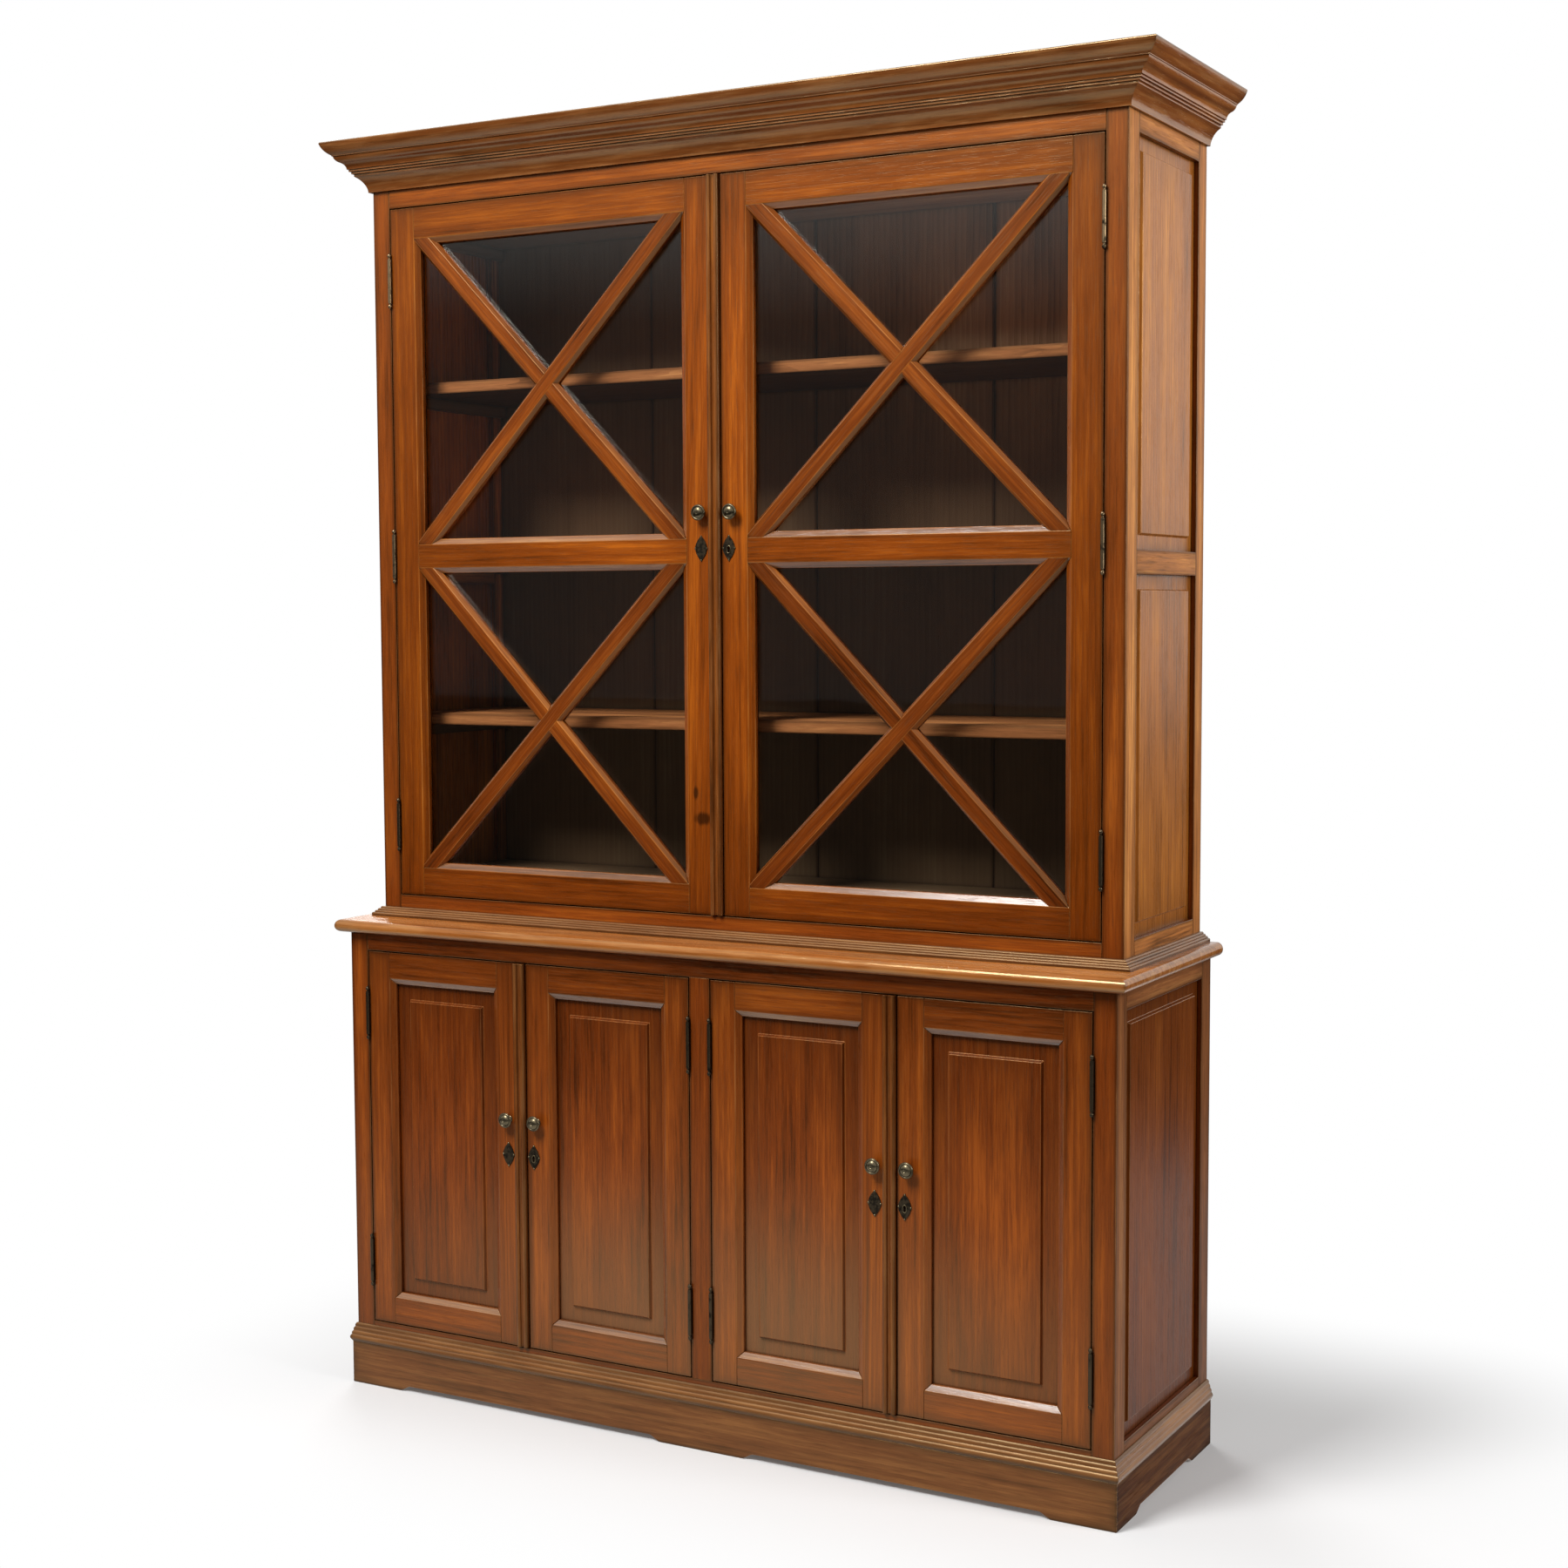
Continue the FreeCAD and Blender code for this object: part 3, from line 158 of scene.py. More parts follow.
def teak(name, warm, sheen=0.5, gloss=0.28, fibrous=1.0, cloudy=1.3, pooled=0.02, grime_and_shade=0.6,
         reach=0.012, worn=0.0, dust_and_highlight=0.0, pale=None, fade=0.4, painted_floor_reflection=0.0, knots=(),
         tint=varnish_tint):
    """Stained and varnished teak round one warm tone. The boards carry their own grain coordinates;
    the stain lies darker within the pooled distance of a board's edges and four times that of its
    ends. Away from the pale spot the wood is painted darker, which on the lower doors and inside is
    painted light and shade, and near its middle a pale painted reflection of the floor may be laid.
    Spots are x, z, half width and half height."""
    made, shader, start = finish_of(name, Specular_IOR_Level=sheen, Specular_Tint=tint)
    place = start.node("Attribute", {"attribute_name": "grain"}, {}, "Vector")
    inset = start.node("Attribute", {"attribute_name": "inset"}, {}, "Vector")
    half = start.node("Attribute", {"attribute_name": "half"}, {}, "Vector")
    board = start.node("Attribute", {"attribute_name": "board"}, {}, "Fac")

    # The figure of the wood. Stretches are about waves in a metre along, across and through.
    fibre = place.scaled(13.0, 300.0, 300.0).noise(detail=5.0, roughness=0.66)
    streak = place.scaled(2.2, 60.0, 60.0).noise(detail=3.0, roughness=0.6)
    cloud = place.scaled(2.6, 11.0, 11.0).noise(detail=4.0, roughness=0.6)
    pores = place.scaled(26.0, 420.0, 420.0).noise(detail=2.0, roughness=0.6).within(0.54, 0.7)
    way = {"wave_type": "BANDS", "bands_direction": "Y", "wave_profile": "SAW"}
    bands = {"Scale": 26.0, "Distortion": 6.0}
    ragged = {"Detail": 3.0, "Detail Scale": 0.6, "Detail Roughness": 0.6}
    flattened = place.scaled(0.14, 1.0, 0.8)
    rings = start.node("TexWave", way, {"Vector": flattened, **bands, **ragged}, "Fac")
    streak_share, ring_share, board_share, pore_share = 1.3, 0.22, 0.2, 0.3
    shade = fibre.swing(fibrous) + streak.swing(fibrous * streak_share) + rings.swing(ring_share)
    shade = shade + cloud.swing(cloudy) + board.swing(board_share) + 0.5
    golden = tuple(c * lift for c, lift in zip(warm, golden_lift)) + (1.0,)
    body = shade.within(-0.1, 0.55).mix(dimmed(warm, 0.3), warm)
    body = shade.within(0.45, 1.1).mix(body, golden)
    body = (pores * (fibrous * pore_share)).mix(body, dimmed(warm, 0.25))

    # Stain pooled at the ends and edges of the board, and a dark line where it meets the next.
    left = half.vector("SUBTRACT", inset.vector("ABSOLUTE"))
    along, across, through = left.part("X"), left.part("Y"), left.part("Z")
    inner = start.maths("MINIMUM", start.maths("MAXIMUM", across, through), along)
    rim = start.maths("MAXIMUM", start.maths("MINIMUM", across, through), inner)
    end_stain, edge_stain, joint_line = 0.35, 0.45, 0.65
    dark = along.within(pooled * 4, 0.0) * end_stain + rim.within(pooled, 0.0) * edge_stain
    body = (dark * (cloud.within(0.25, 0.65) * 0.7 + 0.3)).mix(body, dimmed(warm, 0.3))
    body = (rim.within(0.006, 0.001) * joint_line).mix(body, dimmed(warm, 0.2))

    # Darker wood away from a pale spot, painted light and shade on the lower doors and inside, and a
    # painted floor reflection; knots; grime and painted shade in corners; rubbed edges; dust and a
    # painted highlight on faces that look up.
    spot = start.node("TexCoord", {}, {}, "Object") if pale or knots else None
    # Darker away from the pale spot; near its middle, a pale painted reflection of the floor.
    if pale:
        outward = spot.from_spot(*pale)
        body = (outward.within(0.4, 1.1) * fade).mix(body, dimmed(warm, 0.25))
        if painted_floor_reflection:
            body = (outward.within(0.5, 0.05) * painted_floor_reflection).mix(body, floor_reflection_tone)
    for knot in knots:
        swirl = spot.from_spot(*knot) + cloud.swing(1.5) + fibre.swing(1.0)
        body = (swirl.within(1.3, 0.5) * 0.85).mix(body, dimmed(warm, 0.1))
    # Grime, and painted shade, darken corners and recesses within the reach of the occlusion.
    corner = start.node("AmbientOcclusion", {"samples": 4}, {"Distance": reach}, "AO")
    body = (corner.within(0.85, 0.25) * grime_and_shade).mix(body, dimmed(warm, 0.12))
    if worn:
        rub = place.scaled(7.0, 90.0, 90.0).noise(detail=3.0, roughness=0.6).within(0.42, 0.7)
        body = (rub * corner.within(0.55, 0.95) * worn).mix(body, worn_gold)
    # Faces that look up turn paler, for dust and a painted highlight.
    if dust_and_highlight:
        upward = start.node("NewGeometry", {}, {}, "Normal").part("Z").within(0.2, 0.9)
        body = (upward * (cloud.within(0.2, 0.7) * 0.6 + 0.4) * dust_and_highlight).mix(body, dust_highlight_tone)

    rough = gloss + fibre.swing(0.15) + cloud.swing(0.2) + pores * 0.15
    lift = (fibre * 0.5 - pores * 0.8 + rings * 0.1).bump(strength=0.2, distance=0.0005)
    feed(shader, Base_Color=body, Roughness=rough, Normal=lift)
    return made


merge_distance = 1e-5
nearly_straight = 0.9
farthest_move = np.array((4.0, 1.0, 1.0))


def boards_of(spots, faces):
    """Which board each point belongs to. Faces are of one board where just two of them meet at an
    edge; at the edges where boards touch, four meet."""
    steps = np.round(spots / merge_distance).astype(np.int64)
    _, same = np.unique(steps, axis=0, return_inverse=True)
    corners = same.reshape(-1)[faces]
    sides = np.sort(np.stack([corners, np.roll(corners, -1, 1)], 2).reshape(-1, 2), 1)
    _, edge, uses = np.unique(sides, axis=0, return_inverse=True, return_counts=True)
    edge = edge.reshape(-1)
    order = np.argsort(edge, kind="stable")
    pairs = order[uses[edge[order]] == 2].reshape(-1, 2) // 3
    group = np.arange(len(faces))
    while True:
        lowest = group[pairs].min(1)
        after = group.copy()
        np.minimum.at(after, pairs[:, 0], lowest)
        np.minimum.at(after, pairs[:, 1], lowest)
        after = after[after]
        if (after == group).all():
            break
        group = after
    owner = np.zeros(len(spots), int)
    owner[faces] = group[:, None]
    return owner


def lay_grain(node):
    """Gives each board in a node its own grain, metres along, across and through, moved at random,
    and how far each point lies from the board's middle. A sloping bar's grain slopes with it."""
    mesh = node.data
    spots = np.array([v.co for v in mesh.vertices])
    faces = np.array([list(f.vertices) for f in mesh.polygons])
    owner = boards_of(spots, faces)
    sides = np.concatenate([spots[faces[:, i]] - spots[faces[:, i - 1]] for i in range(3)])
    draw = np.random.default_rng(sum(ord(c) * (i + 7) for i, c in enumerate(node.name)))
    grain, inset, half = (np.zeros((len(spots), 3), np.float32) for _ in range(3))
    tint = np.zeros(len(spots), np.float32)
    for one in np.unique(owner):
        mine = owner == one
        reach = np.ptp(spots[mine], axis=0)
        along = np.eye(3)[reach.argmax()]
        if "cross_bars" in node.name:
            edges = sides[np.tile(mine[faces[:, 0]], 3)]
            weight = np.linalg.norm(edges, axis=1)[:, None] ** 2
            sloping = np.linalg.eigh(edges.T @ (edges * weight))[1][:, 2]
            if abs(sloping[reach.argmax()]) < nearly_straight:
                along = sloping
        across = np.cross(np.eye(3)[reach.argmin()], along)
        middle = (spots[mine].min(0) + spots[mine].max(0)) / 2
        turned = (spots[mine] - middle) @ np.array([along, across, np.cross(along, across)]).T
        grain[mine] = turned + draw.uniform(-farthest_move, farthest_move)
        inset[mine] = turned
        half[mine] = abs(turned).max(0)
        tint[mine] = draw.uniform(0, 1)
    for name, values in (("grain", grain), ("inset", inset), ("half", half)):
        mesh.attributes.new(name, "FLOAT_VECTOR", "POINT").data.foreach_set("vector", values.ravel())
    mesh.attributes.new("board", "FLOAT", "POINT").data.foreach_set("value", tint)


def join_up(node):
    """Joins a node's loose triangles and lets them shade as one surface."""
    node.data.polygons.foreach_set("use_smooth", np.ones(len(node.data.polygons), bool))
    node.modifiers.new("join", "WELD").merge_threshold = merge_distance


def soften(node, arris):
    """Takes the sharp arrises off a node's boards, as sandpaper does, and keeps the flats flat."""
    flatten = node.modifiers.new("flatten", "DECIMATE")
    flatten.decimate_type = "DISSOLVE"
    flatten.angle_limit = math.radians(0.4)
    flatten.delimit = {"MATERIAL"}
    node.modifiers.new("cut_up", "TRIANGULATE")
    round_off = node.modifiers.new("round_off", "BEVEL")
    round_off.width = arris
    round_off.segments = 2
    round_off.limit_method = "ANGLE"
    round_off.angle_limit = math.radians(28)
    round_off.use_clamp_overlap = False
    round_off.loop_slide = False
    round_off.miter_outer = "MITER_ARC"
    round_off.material = 1
    part = node.modifiers.new("part", "EDGE_SPLIT")
    part.split_angle = math.radians(60)
    even_out = node.modifiers.new("even_out", "WEIGHTED_NORMAL")
    even_out.keep_sharp = True


def refinish(name, finish, wanted):
    """Gives the wanted faces of a node one more finish."""
    mesh = nodes[name].data
    mesh.materials.append(finish)
    for face in mesh.polygons:
        if wanted(face):
            face.material_index = len(mesh.materials) - 1


def sideways(face):
    return abs(face.normal.x) > nearly_straight


def timber(names, wood, edge=None, arris=0.0, slope=None, flank=None):
    """Puts a finish on CAD nodes; softened ones get a second on their arrises, and some a third: a
    painted highlight on the bevels of the front that look up or down, or a paler or darker copy on
    the faces that look to the side, as painted light and shade."""
    for name in names:
        node = nodes[name]
        lay_grain(node)
        join_up(node)
        node.data.materials.clear()
        node.data.materials.append(wood)
        if edge:
            node.data.materials.append(edge)
            soften(node, arris)
        else:
            crease(node)
        if slope:
            refinish(name, slope, bevelled)
        if flank:
            refinish(name, flank, sideways)


plinth_wood = teak("plinth_teak", colour(122, 72, 40), gloss=0.4, worn=0.15)
plinth_edge = teak("plinth_teak_edge", colour(138, 86, 48), worn=0.6)
# The sides of the plinth are painted darker than its front, as shade.
plinth_shaded_side = teak("plinth_flank_teak", colour(80, 44, 22), sheen=0.02, gloss=0.5, worn=0.15)
timber(["plinth_boards"], plinth_wood, plinth_edge, arris=0.0012, flank=plinth_shaded_side)


# Base moulding.
# Three lengths of reeded teak nailed round the case above the plinth, mitred at the front corners.

def crease(node):
    """Lets run mouldings shade as curves between their sharp edges."""
    part = node.modifiers.new("part", "EDGE_SPLIT")
    part.split_angle = math.radians(32)


# The pale tone of faces that look up: dust, and a painted highlight.
dust_highlight_tone = colour(176, 146, 112)
moulding_wood = teak("moulding_teak", colour(128, 76, 36), fibrous=0.6, grime_and_shade=0.5, reach=0.005,
                     worn=0.25, dust_and_highlight=0.25)
timber(["base_moulding"], moulding_wood)


# Lower case.
# Corner posts, rails and a centre stile of straight-grained teak, tenoned together.

case_arris = 0.0009
lower_case_wood = teak("lower_case_teak", colour(134, 60, 14))
lower_case_edge = teak("lower_case_edge", colour(140, 74, 28), worn=0.4)
# The side faces of the posts and rails are painted a paler tan, as light and reflection.
lower_lit_side = teak("lower_flank_teak", colour(134, 82, 46), sheen=0.05, gloss=0.4)
timber(["lower_front_frame"], lower_case_wood, lower_case_edge, case_arris)
timber(["lower_side_frames"], lower_case_wood, lower_case_edge, case_arris, flank=lower_lit_side)


# Side panels.
# Raised and fielded teak panels held loose in grooves, so that they can swell and shrink.

panel_arris = 0.0008
lower_side_wood = teak("lower_side_teak", colour(120, 60, 20), sheen=0.05, fibrous=0.8, pooled=0.06,
                       grime_and_shade=0.75)
lower_side_edge = teak("lower_side_edge", colour(130, 74, 34), worn=0.3)
timber(["lower_side_panels"], lower_side_wood, lower_side_edge, panel_arris)
# The upper side panels are painted paler than those below, as light and reflection on them.
upper_side_lit_wood = teak("upper_side_teak", colour(172, 102, 38), sheen=0.35, fibrous=0.7, pooled=0.03,
                       grime_and_shade=0.75)
upper_side_edge = teak("upper_side_edge", colour(176, 110, 56), worn=0.3)
timber(["upper_side_panels"], upper_side_lit_wood, upper_side_edge, panel_arris)


# Waist slab and moulding.
# A teak top with a round nose, polished by elbows, and reeded lengths round the upper case on it.

slab_wood = teak("slab_teak", colour(180, 104, 44), sheen=0.9, gloss=0.14, fibrous=0.7, worn=0.55)
timber(["waist_slab"], slab_wood)
timber(["waist_moulding"], moulding_wood)


# Upper case.
# Posts and rails as below, a little narrower, standing on the slab.

upper_case_wood = teak("upper_case_teak", colour(140, 66, 16))
upper_case_edge = teak("upper_case_edge", colour(146, 76, 26), worn=0.4)
# The side faces are painted a paler tan, as light and reflection.
upper_lit_side = teak("upper_flank_teak", colour(188, 120, 64), sheen=0.08, gloss=0.4)
timber(["upper_front_rails"], upper_case_wood, upper_case_edge, case_arris)
timber(["upper_side_frames"], upper_case_wood, upper_case_edge, case_arris, flank=upper_lit_side)


# Cornice.
# A deep cornice run in teak, front length and two returns, mitred and nailed on, with dust and a
# painted highlight on its steps, and grime and painted shade in its hollows.

cornice_wood = teak("cornice_teak", colour(140, 78, 34), sheen=1.0, gloss=0.16, fibrous=0.5,
                    grime_and_shade=1.0, reach=0.014, worn=0.35, dust_and_highlight=0.5)
timber(["cornice_moulding"], cornice_wood)


# Inside.
# Floor, ceiling, shelves, cleats and upright back boards of plainer teak, unpolished, painted dark
# as shade but for a painted light at the upper right; the shelf undersides are painted darker as
# shade, and the outside of the back is bare wood.

# Painted light at the upper right of the inside; painted shade darkens the rest.
inside_lit_spot = (0.5, 2.25, 0.7, 0.5)
inside_wood = teak("inside_teak", colour(176, 140, 104), sheen=0.05, gloss=0.6, fibrous=0.4,
                   grime_and_shade=0.9, pale=inside_lit_spot, fade=0.85)
inside_edge = teak("inside_teak_edge", colour(134, 100, 72), sheen=0.05, gloss=0.6)
timber(["back_boards", "case_boards", "shelf_cleats"], inside_wood, inside_edge, panel_arris)
rear_wood = teak("rear_teak", colour(146, 108, 72), sheen=0.05, gloss=0.6, fibrous=0.6, grime_and_shade=0.9)
refinish("back_boards", rear_wood, lambda face: face.normal.y > 0.7)
shelf_wood = teak("shelf_teak", colour(178, 114, 68), sheen=0.1, gloss=0.5)
# The undersides of the shelves are painted darker, as shade.
shelf_under_shade = teak("shelf_underside", colour(70, 50, 36), sheen=0.05, gloss=0.6, fibrous=0.5)
timber(["shelves"], shelf_wood)
refinish("shelves", shelf_under_shade, lambda face: face.normal.z < -0.7)


# Glazed doors.
# Bevelled stiles and rails of the best golden teak, tenoned together, with crossed bars halved over
# each other in front of the glass and mitred beads behind it.

def bevelled(face):
    """A bevel of the front that looks up or down, not to the side."""
    return 0.3 < -face.normal.y < 0.97 and abs(face.normal.z) > 0.3


# The door wood turns darker away from an oval in the middle of the front.
door_paler_middle = (0.08, 1.66, 0.75, 0.75)
door_knots = [(-0.038, 1.1326, 0.018, 0.011), (-0.0527, 1.1787, 0.006, 0.012)]
clear_tint = (1.0, 1.0, 1.0, 1.0)
bar_arris, bead_arris = 0.0007, 0.0005
door_wood = teak("door_teak", colour(148, 69, 11), gloss=0.26, pale=door_paler_middle, knots=door_knots)
door_edge = teak("door_teak_edge", colour(156, 84, 24), worn=0.35)
# The bevels of frame and bars that look up or down are painted paler, as a highlight.
door_bevel_highlight = teak("door_bevel_teak", colour(160, 104, 62), sheen=0.65, gloss=0.18, tint=clear_tint)
bar_wood = teak("cross_bar_teak", colour(124, 56, 13), gloss=0.24)
bar_bevel_highlight = teak("bar_bevel_teak", colour(136, 70, 26), sheen=0.7, gloss=0.2)
glazed = ["upper_left_door", "upper_right_door"]
timber([d + "_frame" for d in glazed], door_wood, door_edge, case_arris, door_bevel_highlight)
timber([d + "_cross_bars" for d in glazed], bar_wood, door_edge, bar_arris, bar_bevel_highlight)
timber([d + "_glazing_beads" for d in glazed], upper_case_wood, upper_case_edge, bead_arris)


# Panes.
# Sheets of thin old glass, clear and a little rippled, laid into the doors from behind.

def dress(name, finish):
    """Puts one finish on a CAD node that is no timber."""
    nodes[name].data.materials.clear()
    nodes[name].data.materials.append(finish)


glass_tint = colour(236, 240, 236)
even = {"Roughness": 0.02, "Metallic": 1.0, "Base_Color": glass_tint}
pane, pane_shader, start = finish_of("old_glass", **even)
slant = start.node("LayerWeight", {}, {"Blend": 0.5}, "Facing")
least, most = 0.03, 0.9
mirror = start.maths("POWER", slant, 4.0) * most + least
ripple = start.node("TexCoord", {}, {}, "Object").noise(scale=7.0, detail=1.0)
feed(pane_shader, Alpha=mirror, Normal=ripple.bump(strength=0.06, distance=0.002))
for door in glazed:
    dress(door + "_glass", pane)


# Panelled doors.
# Teak frames with bevelled inner edges round a raised panel, stained a shade redder than the case.

# Painted light and shade on the lower doors: darker at the top, in the slab's shade, and paler towards
# the floor, with a pale painted reflection of the floor low down.
lower_door_lit_spot = (0.1, 0.2, 1.9, 0.72)
floor_reflection_tone = colour(176, 136, 96)
lower_wood = teak("lower_door_teak", colour(144, 67, 17), pale=lower_door_lit_spot, painted_floor_reflection=0.2)
lower_edge = teak("lower_door_edge", colour(136, 70, 26), worn=0.3)
# The bevels that look up or down are painted paler, as a highlight and reflection.
lower_bevel_highlight = teak("lower_bevel_teak", colour(172, 118, 74), sheen=0.8, gloss=0.24, tint=clear_tint)
# The fields carry grime and painted shade along their margins, under the frame.
field_wood = teak("field_teak", colour(136, 60, 14), fibrous=1.2, cloudy=1.7, pooled=0.08, grime_and_shade=0.9,
                  reach=0.03, pale=lower_door_lit_spot, painted_floor_reflection=0.35)
panelled = ["lower_outer_left_door", "lower_inner_left_door",
            "lower_inner_right_door", "lower_outer_right_door"]
timber([d + "_frame" for d in panelled], lower_wood, lower_edge, case_arris, lower_bevel_highlight)
timber([d + "_panel" for d in panelled], field_wood, lower_edge, panel_arris)


# Meeting beads.
# A double-reeded teak bead planted on the left leaf of each pair, rubbed golden, its reeds black
# with grime and painted shade.

bead_depth = 0.0075
bead_wood = teak("bead_teak", colour(138, 74, 26), grime_and_shade=1.0, reach=0.006, worn=0.2)
bolted = ["upper_left_door", "lower_outer_left_door", "lower_inner_right_door"]
for door in bolted:
    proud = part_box(door + "_frame")[0][1] + bead_depth
    refinish(door + "_frame", bead_wood, lambda face: face.center.y < proud)


# Hinges.
# Two-knuckle butt hinges of cast brass with turned finials; the brass is darker lower down.

def metal(name, clean, stained, rough, stain_share, scale=160.0, high=None):
    """Old bare metal: clean where it is handled, dull and stained elsewhere, brighter higher up."""
    made, shader, start = finish_of(name, Metallic=1.0)
    spot = start.node("TexCoord", {}, {}, "Object")
    blotch = spot.noise(scale, detail=4.0, roughness=0.6)
    fine = spot.noise(scale * 9, detail=2.0)
    corner = start.node("AmbientOcclusion", {"samples": 4}, {"Distance": 0.004}, "AO")
    stain = blotch.within(0.75 - stain_share * 0.5, 0.95 - stain_share * 0.5)
    stain = start.maths("MAXIMUM", stain, corner.within(0.75, 0.3))
    if high:
        clean = spot.part("Z").within(0.9, 2.3).mix(clean, high)
    rough = rough + stain * 0.25 + fine.swing(0.15)
    lift = (blotch + fine * 0.4).bump(strength=0.25, distance=0.0002)
    feed(shader, Base_Color=stain.mix(clean, stained), Roughness=rough, Normal=lift)
    return made


doors = glazed + panelled
hinge_metal = metal("hinge_brass", colour(70, 60, 46), colour(30, 27, 22), rough=0.36,
                    stain_share=0.5, scale=60.0, high=colour(132, 112, 84))
for name in [d + "_hinge_leaves" for d in doors] + ["hinge_pins", "hinge_case_leaves"]:
    dress(name, hinge_metal)


# Hinge screws.
# Slotted brass screws with low domed heads, three staggered in each leaf and driven home by hand.

def pick(piece, wanted):
    """Goes to edit mode with only the wanted faces selected."""
    bpy.ops.object.mode_set(mode="OBJECT")
    for part in (*piece.data.vertices, *piece.data.edges):
        part.select = False
    for face in piece.data.polygons:
        face.select = wanted(face)
    bpy.ops.object.mode_set(mode="EDIT")
    bpy.ops.mesh.select_mode(type="FACE")


dome_rise, slot_edge, slot_depth = 0.00015, 0.00035, 0.0004
bpy.ops.object.select_all(action="DESELECT")
bpy.ops.mesh.primitive_cylinder_add(vertices=24, radius=0.0032, depth=0.0006)
head = bpy.context.object
pick(head, lambda face: face.normal.z > 0.9)
bpy.ops.mesh.inset(thickness=0.0007)
bpy.ops.transform.translate(value=(0, 0, dome_rise))
for side in (-1, 1):
    bpy.ops.mesh.select_all(action="SELECT")
    bpy.ops.mesh.bisect(plane_co=(0, side * slot_edge, 0), plane_no=(0, 1, 0))
pick(head, lambda face: face.normal.z > 0.5 and abs(face.center.y) < slot_edge)
bpy.ops.mesh.extrude_region_move(TRANSFORM_OT_translate={"value": (0, 0, -slot_depth)})
bpy.ops.object.mode_set(mode="OBJECT")
bpy.ops.object.shade_smooth_by_angle(angle=math.radians(35))
screw_metal = metal("screw_brass", colour(120, 104, 76), colour(44, 38, 30), rough=0.34,
                    stain_share=0.5, scale=300.0)
head.data.materials.append(screw_metal)


def place_copies(pattern, name, body, spots):
    """Copies a small piece to each spot, (where, the way it faces, its turn), and joins them."""
    bpy.ops.object.select_all(action="DESELECT")
    for where, faces, turn in spots:
        copy = pattern.copy()
        copy.data = pattern.data.copy()
        bpy.context.scene.collection.objects.link(copy)
        facing = Vector(faces).to_track_quat("Z", "Y").to_matrix().to_4x4()
        copy.matrix_world = Matrix.Translation(where) @ facing @ Matrix.Rotation(turn, 4, "Z")
        copy.select_set(True)
        bpy.context.view_layer.objects.active = copy
    bpy.ops.object.transform_apply(location=True, rotation=True, scale=True)
    bpy.ops.object.join()
    piece = bpy.context.object
    piece.name = name
    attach(piece, body)


joints = frame["record"]["behaviour"]["joints"]
swings = {j["child"]: j["pos_m"] for j in joints if j["type"] == "hinge"}
leaf_face, leaf_gap = 0.0008, 0.1


def hinge_levels(door):
    """The middle height of each hinge of a door, read from its leaves, which stand far apart."""
    heights = np.sort([v.co.z for v in nodes[door + "_hinge_leaves"].data.vertices])
    leaves = np.split(heights, np.flatnonzero(np.diff(heights) > leaf_gap) + 1)
    return [(leaf[0] + leaf[-1]) / 2 for leaf in leaves]


def resting_turn(first, second):
    """The angle at which a slot was left, from the screw's place: each its own, and always the same."""
    return first * 90 + second * 7


# The holes in a leaf: up from its middle, and back from the pin.
holes = ((-0.028, 0.012), (0.0, 0.018), (0.028, 0.012))
in_case = []
for door in doors:
    x, y, _ = swings[door]
    side = 1 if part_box(door + "_frame")[0][0] > x else -1
    in_door = []
    for level in hinge_levels(door):
        for up, back in holes:
            turn = (resting_turn(up, level) + x) % math.pi
            in_door.append(((x + side * leaf_face, y + back, level + up), (-side, 0, 0), turn))
            in_case.append(((x - side * leaf_face, y + back, level + up), (side, 0, 0), turn + 1))
    place_copies(head, door + "_hinge_screws", door, in_door)
place_copies(head, "hinge_case_screws", "case", in_case)


# Knobs.
# Turned knobs of nickelled brass with a dished face, worn grey-olive, on a short stem and rose.

knob_metal = metal("knob_brass", colour(100, 90, 70), colour(46, 41, 33), rough=0.28,
                   stain_share=0.45, scale=90.0)
for door in doors:
    dress(door + "_knob", knob_metal)


# Key plates.
# Thin plates of blackened brass with four points, each point held by a bright pin.

pin_height = 0.0007
plate_metal = metal("plate_bronze", colour(66, 57, 44), colour(36, 32, 26), rough=0.5,
                    stain_share=0.7)
pin_metal = metal("pin_brass", colour(104, 93, 70), colour(48, 43, 34), rough=0.34, stain_share=0.4)
for door in doors:
    plate = door + "_key_plate"
    dress(plate, plate_metal)
    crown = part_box(plate)[0][1] + pin_height
    refinish(plate, pin_metal, lambda face: face.center.y < crown)


# Locks and bolts.
# Iron locks cut into the backs of the right leaves, a screw at each corner, with a bolt that slides
# into the left leaf. An iron slip bolt in the top edge of each left leaf holds that one shut.

screw_in, screw_down, screw_proud = 0.005, 0.006, 0.0002
iron = metal("lock_iron", colour(96, 92, 86), colour(44, 38, 33), rough=0.48, stain_share=0.6)
locked = ["upper_right_door", "lower_inner_left_door", "lower_outer_right_door"]
for door in locked:
    dress(door + "_lock", iron)
    dress(door + "_lock_bolt", iron)
    (x0, _, z0), (x1, y1, z1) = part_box(door + "_lock")
    levels = (z0 + screw_down, z1 - screw_down)
    corners = [(x, z) for x in (x0 + screw_in, x1 - screw_in) for z in levels]
    spots = [((x, y1 + screw_proud, z), (0, 1, 0), resting_turn(x, z)) for x, z in corners]
    place_copies(head, door + "_lock_screws", door, spots)
for door in bolted:
    dress(door + "_slip_bolt", iron)
bpy.data.objects.remove(head)


# Keyhole rims.
# An oval brass lining round each keyhole, worn bright by the key.

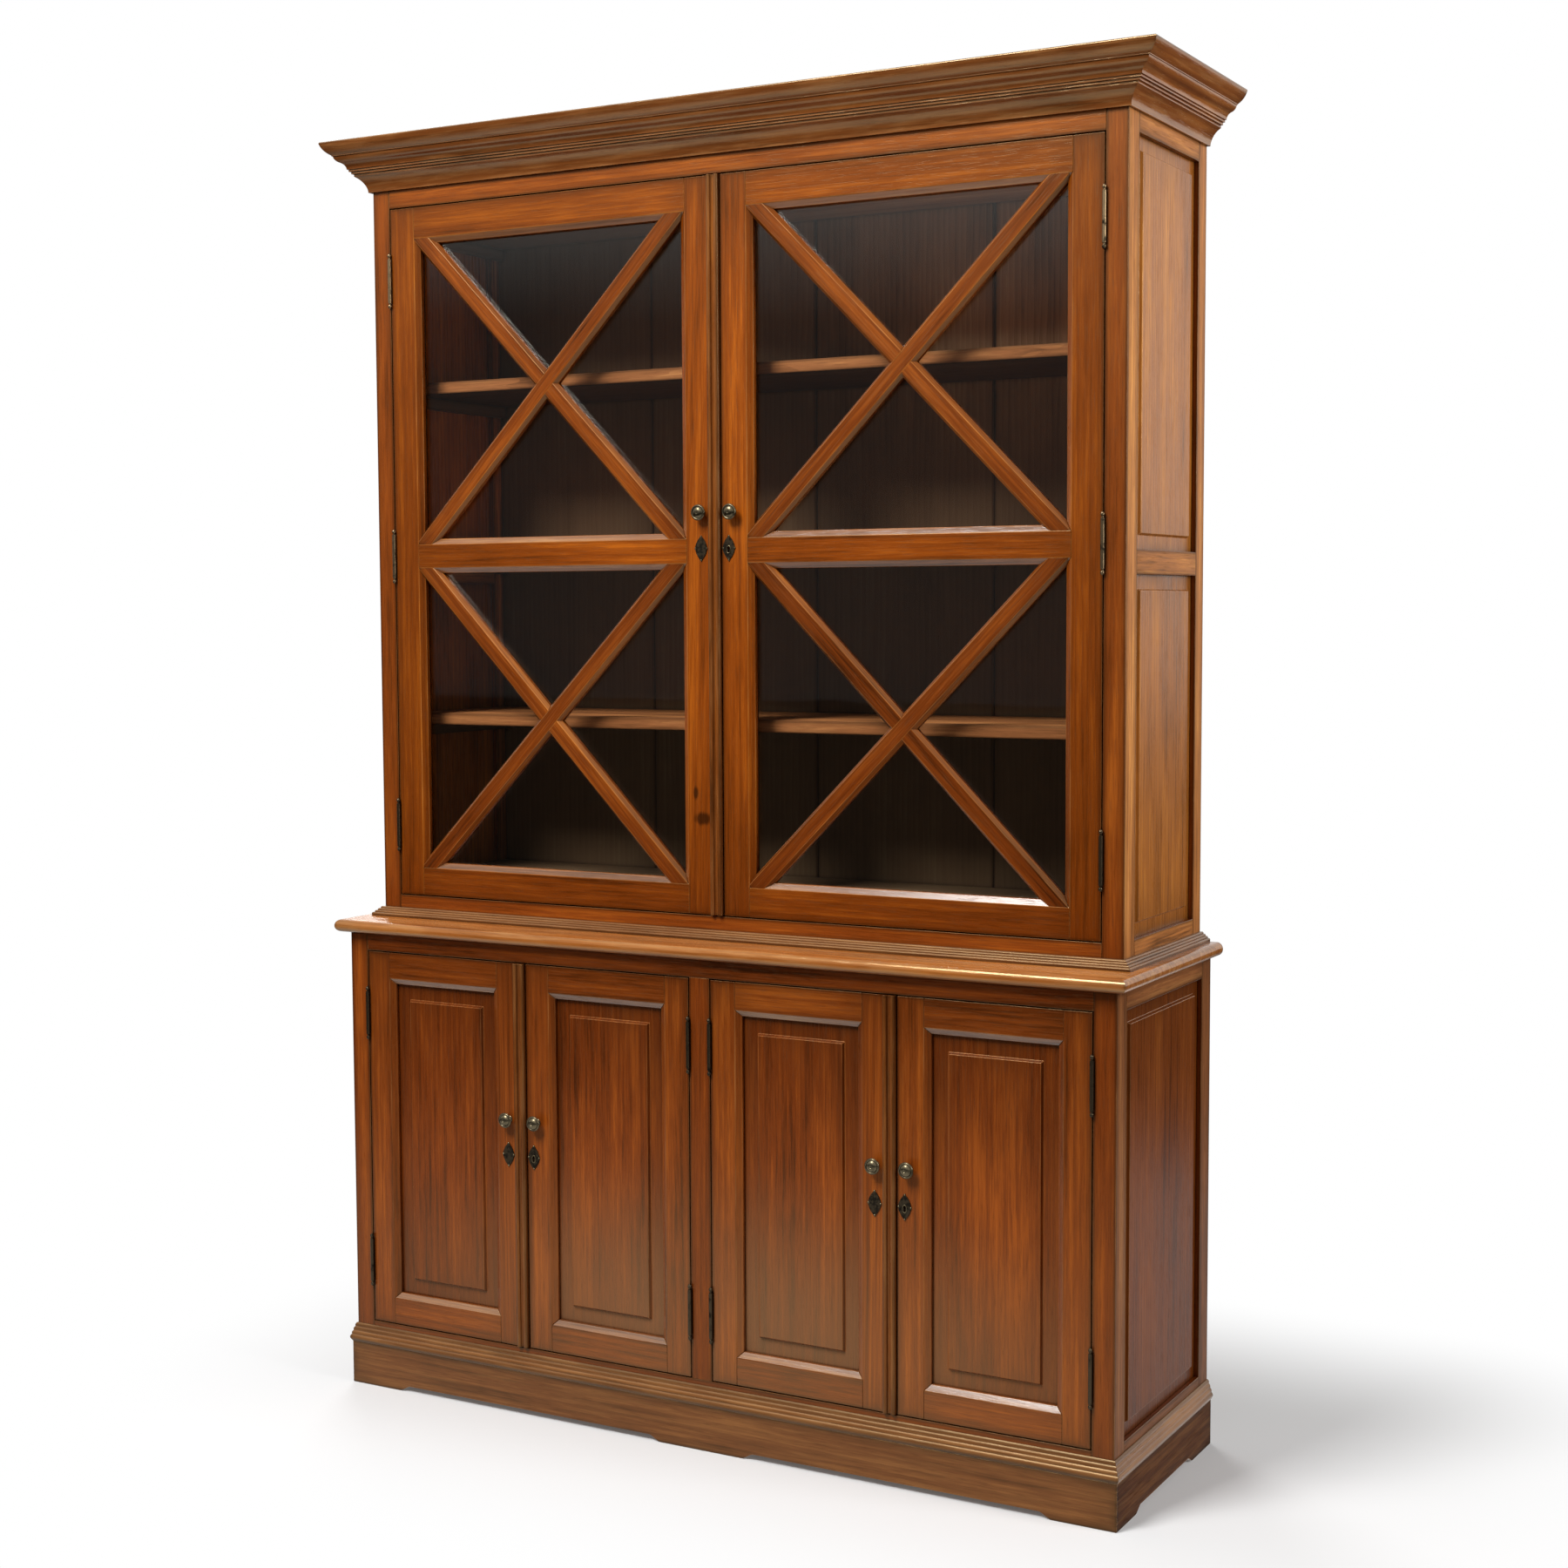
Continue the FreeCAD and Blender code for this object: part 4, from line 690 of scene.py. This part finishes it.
oval, rim_wall, rim_height, rim_dome = 1.55, 0.0014, 0.0006, 0.0003
rim_seat, keyhole_drop = 0.0008, 0.0028
bpy.ops.object.select_all(action="DESELECT")
bpy.ops.mesh.primitive_circle_add(vertices=32, radius=0.0047, fill_type="NGON")
rim = bpy.context.object
pick(rim, lambda face: True)
bpy.ops.transform.resize(value=(1, oval, 1))
bpy.ops.mesh.inset(thickness=rim_wall)
bpy.ops.mesh.delete(type="FACE")
bpy.ops.mesh.select_all(action="SELECT")
bpy.ops.mesh.extrude_region_move(TRANSFORM_OT_translate={"value": (0, 0, rim_height)})
bpy.ops.mesh.inset(thickness=0.0004)
bpy.ops.transform.translate(value=(0, 0, rim_dome))
bpy.ops.object.mode_set(mode="OBJECT")
bpy.ops.object.shade_smooth_by_angle(angle=math.radians(50))
rim.data.materials.append(pin_metal)
for door in locked:
    (x0, y0, z0), (x1, _, z1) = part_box(door + "_key_plate")
    spot = ((x0 + x1) / 2, y0 + rim_seat, (z0 + z1) / 2 - keyhole_drop)
    place_copies(rim, door + "_keyhole_rim", door, [(spot, (0, -1, 0), 0.0)])
bpy.data.objects.remove(rim)


# Studio.
# A pale floor under a broad ceiling light at the front left, a softer one at the right and a weak one
# behind, and the camera where the photo was taken from.

def background_rays(tone):
    """1 where the camera, a reflection or a view through glass looks, 0 for light on the object."""
    kinds = ("Is Camera Ray", "Is Glossy Ray", "Is Transmission Ray")
    rays = [tone.node("LightPath", {}, {}, kind) for kind in kinds]
    return tone.maths("MINIMUM", rays[0] + rays[1] + rays[2], 1.0)


bpy.ops.object.select_all(action="DESELECT")
bpy.ops.mesh.primitive_plane_add(size=60)
floor = bpy.context.object
floor.name = "floor"
ground, ground_shader, start = finish_of("floor_white", Roughness=0.9)

# How far a place on the floor is from where the case and its shadow lie.
shadow_middle, shadow_half = (0.2, 0.14, 0), (0.85, 0.28, 0)
moved = start.node("TexCoord", {}, {}, "Object").vector("SUBTRACT", shadow_middle)
past = moved.vector("ABSOLUTE").vector("SUBTRACT", shadow_half)
away = past.vector("MAXIMUM", (0, 0, 0)).vector("LENGTH")

white, dim_floor = (1, 1, 1, 1), (0.04, 0.036, 0.032, 1)
shadow_share = 0.94
watched = start.node("LightPath", {}, {}, "Is Camera Ray")
lit = start.maths("MAXIMUM", watched, away.within(2.6, 1.4))
glow = start.node("Emission", {}, {"Color": lit.mix(dim_floor, white), "Strength": 1.0})
shaded = Tone(ground.node_tree, ground_shader.outputs[0])
fade = background_rays(start) - watched * (away.within(0.7, 0.0) * shadow_share)
feed(ground_shader, Base_Color=watched.mix(colour(130, 122, 114), colour(236, 236, 236)))
surface = start.node("MixShader", {}, {0: fade, 1: shaded, 2: glow})
feed(ground.node_tree.nodes["Material Output"], Surface=surface)
floor.data.materials.append(ground)

# The backdrop is white to the eye and dim as a light, and reflections show it dark in front.
world = bpy.data.worlds.new("studio")
bpy.context.scene.world = world
world.use_nodes = True
backdrop = world.node_tree.nodes["Background"]
backdrop.inputs["Color"].default_value = white
ambient, dark_share = 0.14, 0.97
start = Tone(world.node_tree)
facing = start.node("TexCoord", {}, {}, "Generated")
dark_front = facing.part("Y").within(0.0, -0.5) * facing.part("Z").within(0.2, 0.1)
watched = start.node("LightPath", {}, {}, "Is Camera Ray")
seen = background_rays(start) * (1 - dark_front * dark_share * (1 - watched))
feed(backdrop, Strength=start.maths("MAXIMUM", seen, ambient))


def lamp(name, spot, target, wide, tall, watts):
    light = bpy.data.lights.new(name, "AREA")
    light.shape = "RECTANGLE"
    light.size = wide
    light.size_y = tall
    light.energy = watts
    made = bpy.data.objects.new(name, light)
    bpy.context.scene.collection.objects.link(made)
    made.location = spot
    made.rotation_euler = (Vector(target) - Vector(spot)).to_track_quat("-Z", "Y").to_euler()


lamp("ceiling_light", (-1.0, -3.3, 4.9), (-0.5, -1.3, 0.0), wide=1.8, tall=2.4, watts=290)
lamp("side_light", (4.5, -0.1, 2.6), (0.8, 0.0, 1.4), wide=1.6, tall=2.2, watts=115)
lamp("back_light", (-3.2, 4.0, 3.4), (0.0, 0.2, 1.2), wide=2.4, tall=2.4, watts=110)

camera_data = bpy.data.cameras.new("camera")
camera = bpy.data.objects.new("camera", camera_data)
bpy.context.scene.collection.objects.link(camera)
bpy.context.scene.camera = camera
camera_data.lens = 53.54
camera_data.sensor_width = 36.0
lens_at = (2.1298, -3.7302, 1.5091)
yaw, pitch, roll = 0.5081, 0.0748, -0.0046
ahead = Vector((-math.sin(yaw) * math.cos(pitch), math.cos(yaw) * math.cos(pitch), -math.sin(pitch)))
sideward = Vector((math.cos(yaw), math.sin(yaw), 0))
over = sideward.cross(ahead)
right = sideward * math.cos(roll) + over * math.sin(roll)
top = over * math.cos(roll) - sideward * math.sin(roll)
aim = Matrix((right, top, -ahead)).transposed().to_4x4()
camera.matrix_world = Matrix.Translation(lens_at) @ aim

bpy.context.scene.view_settings.view_transform = "Standard"
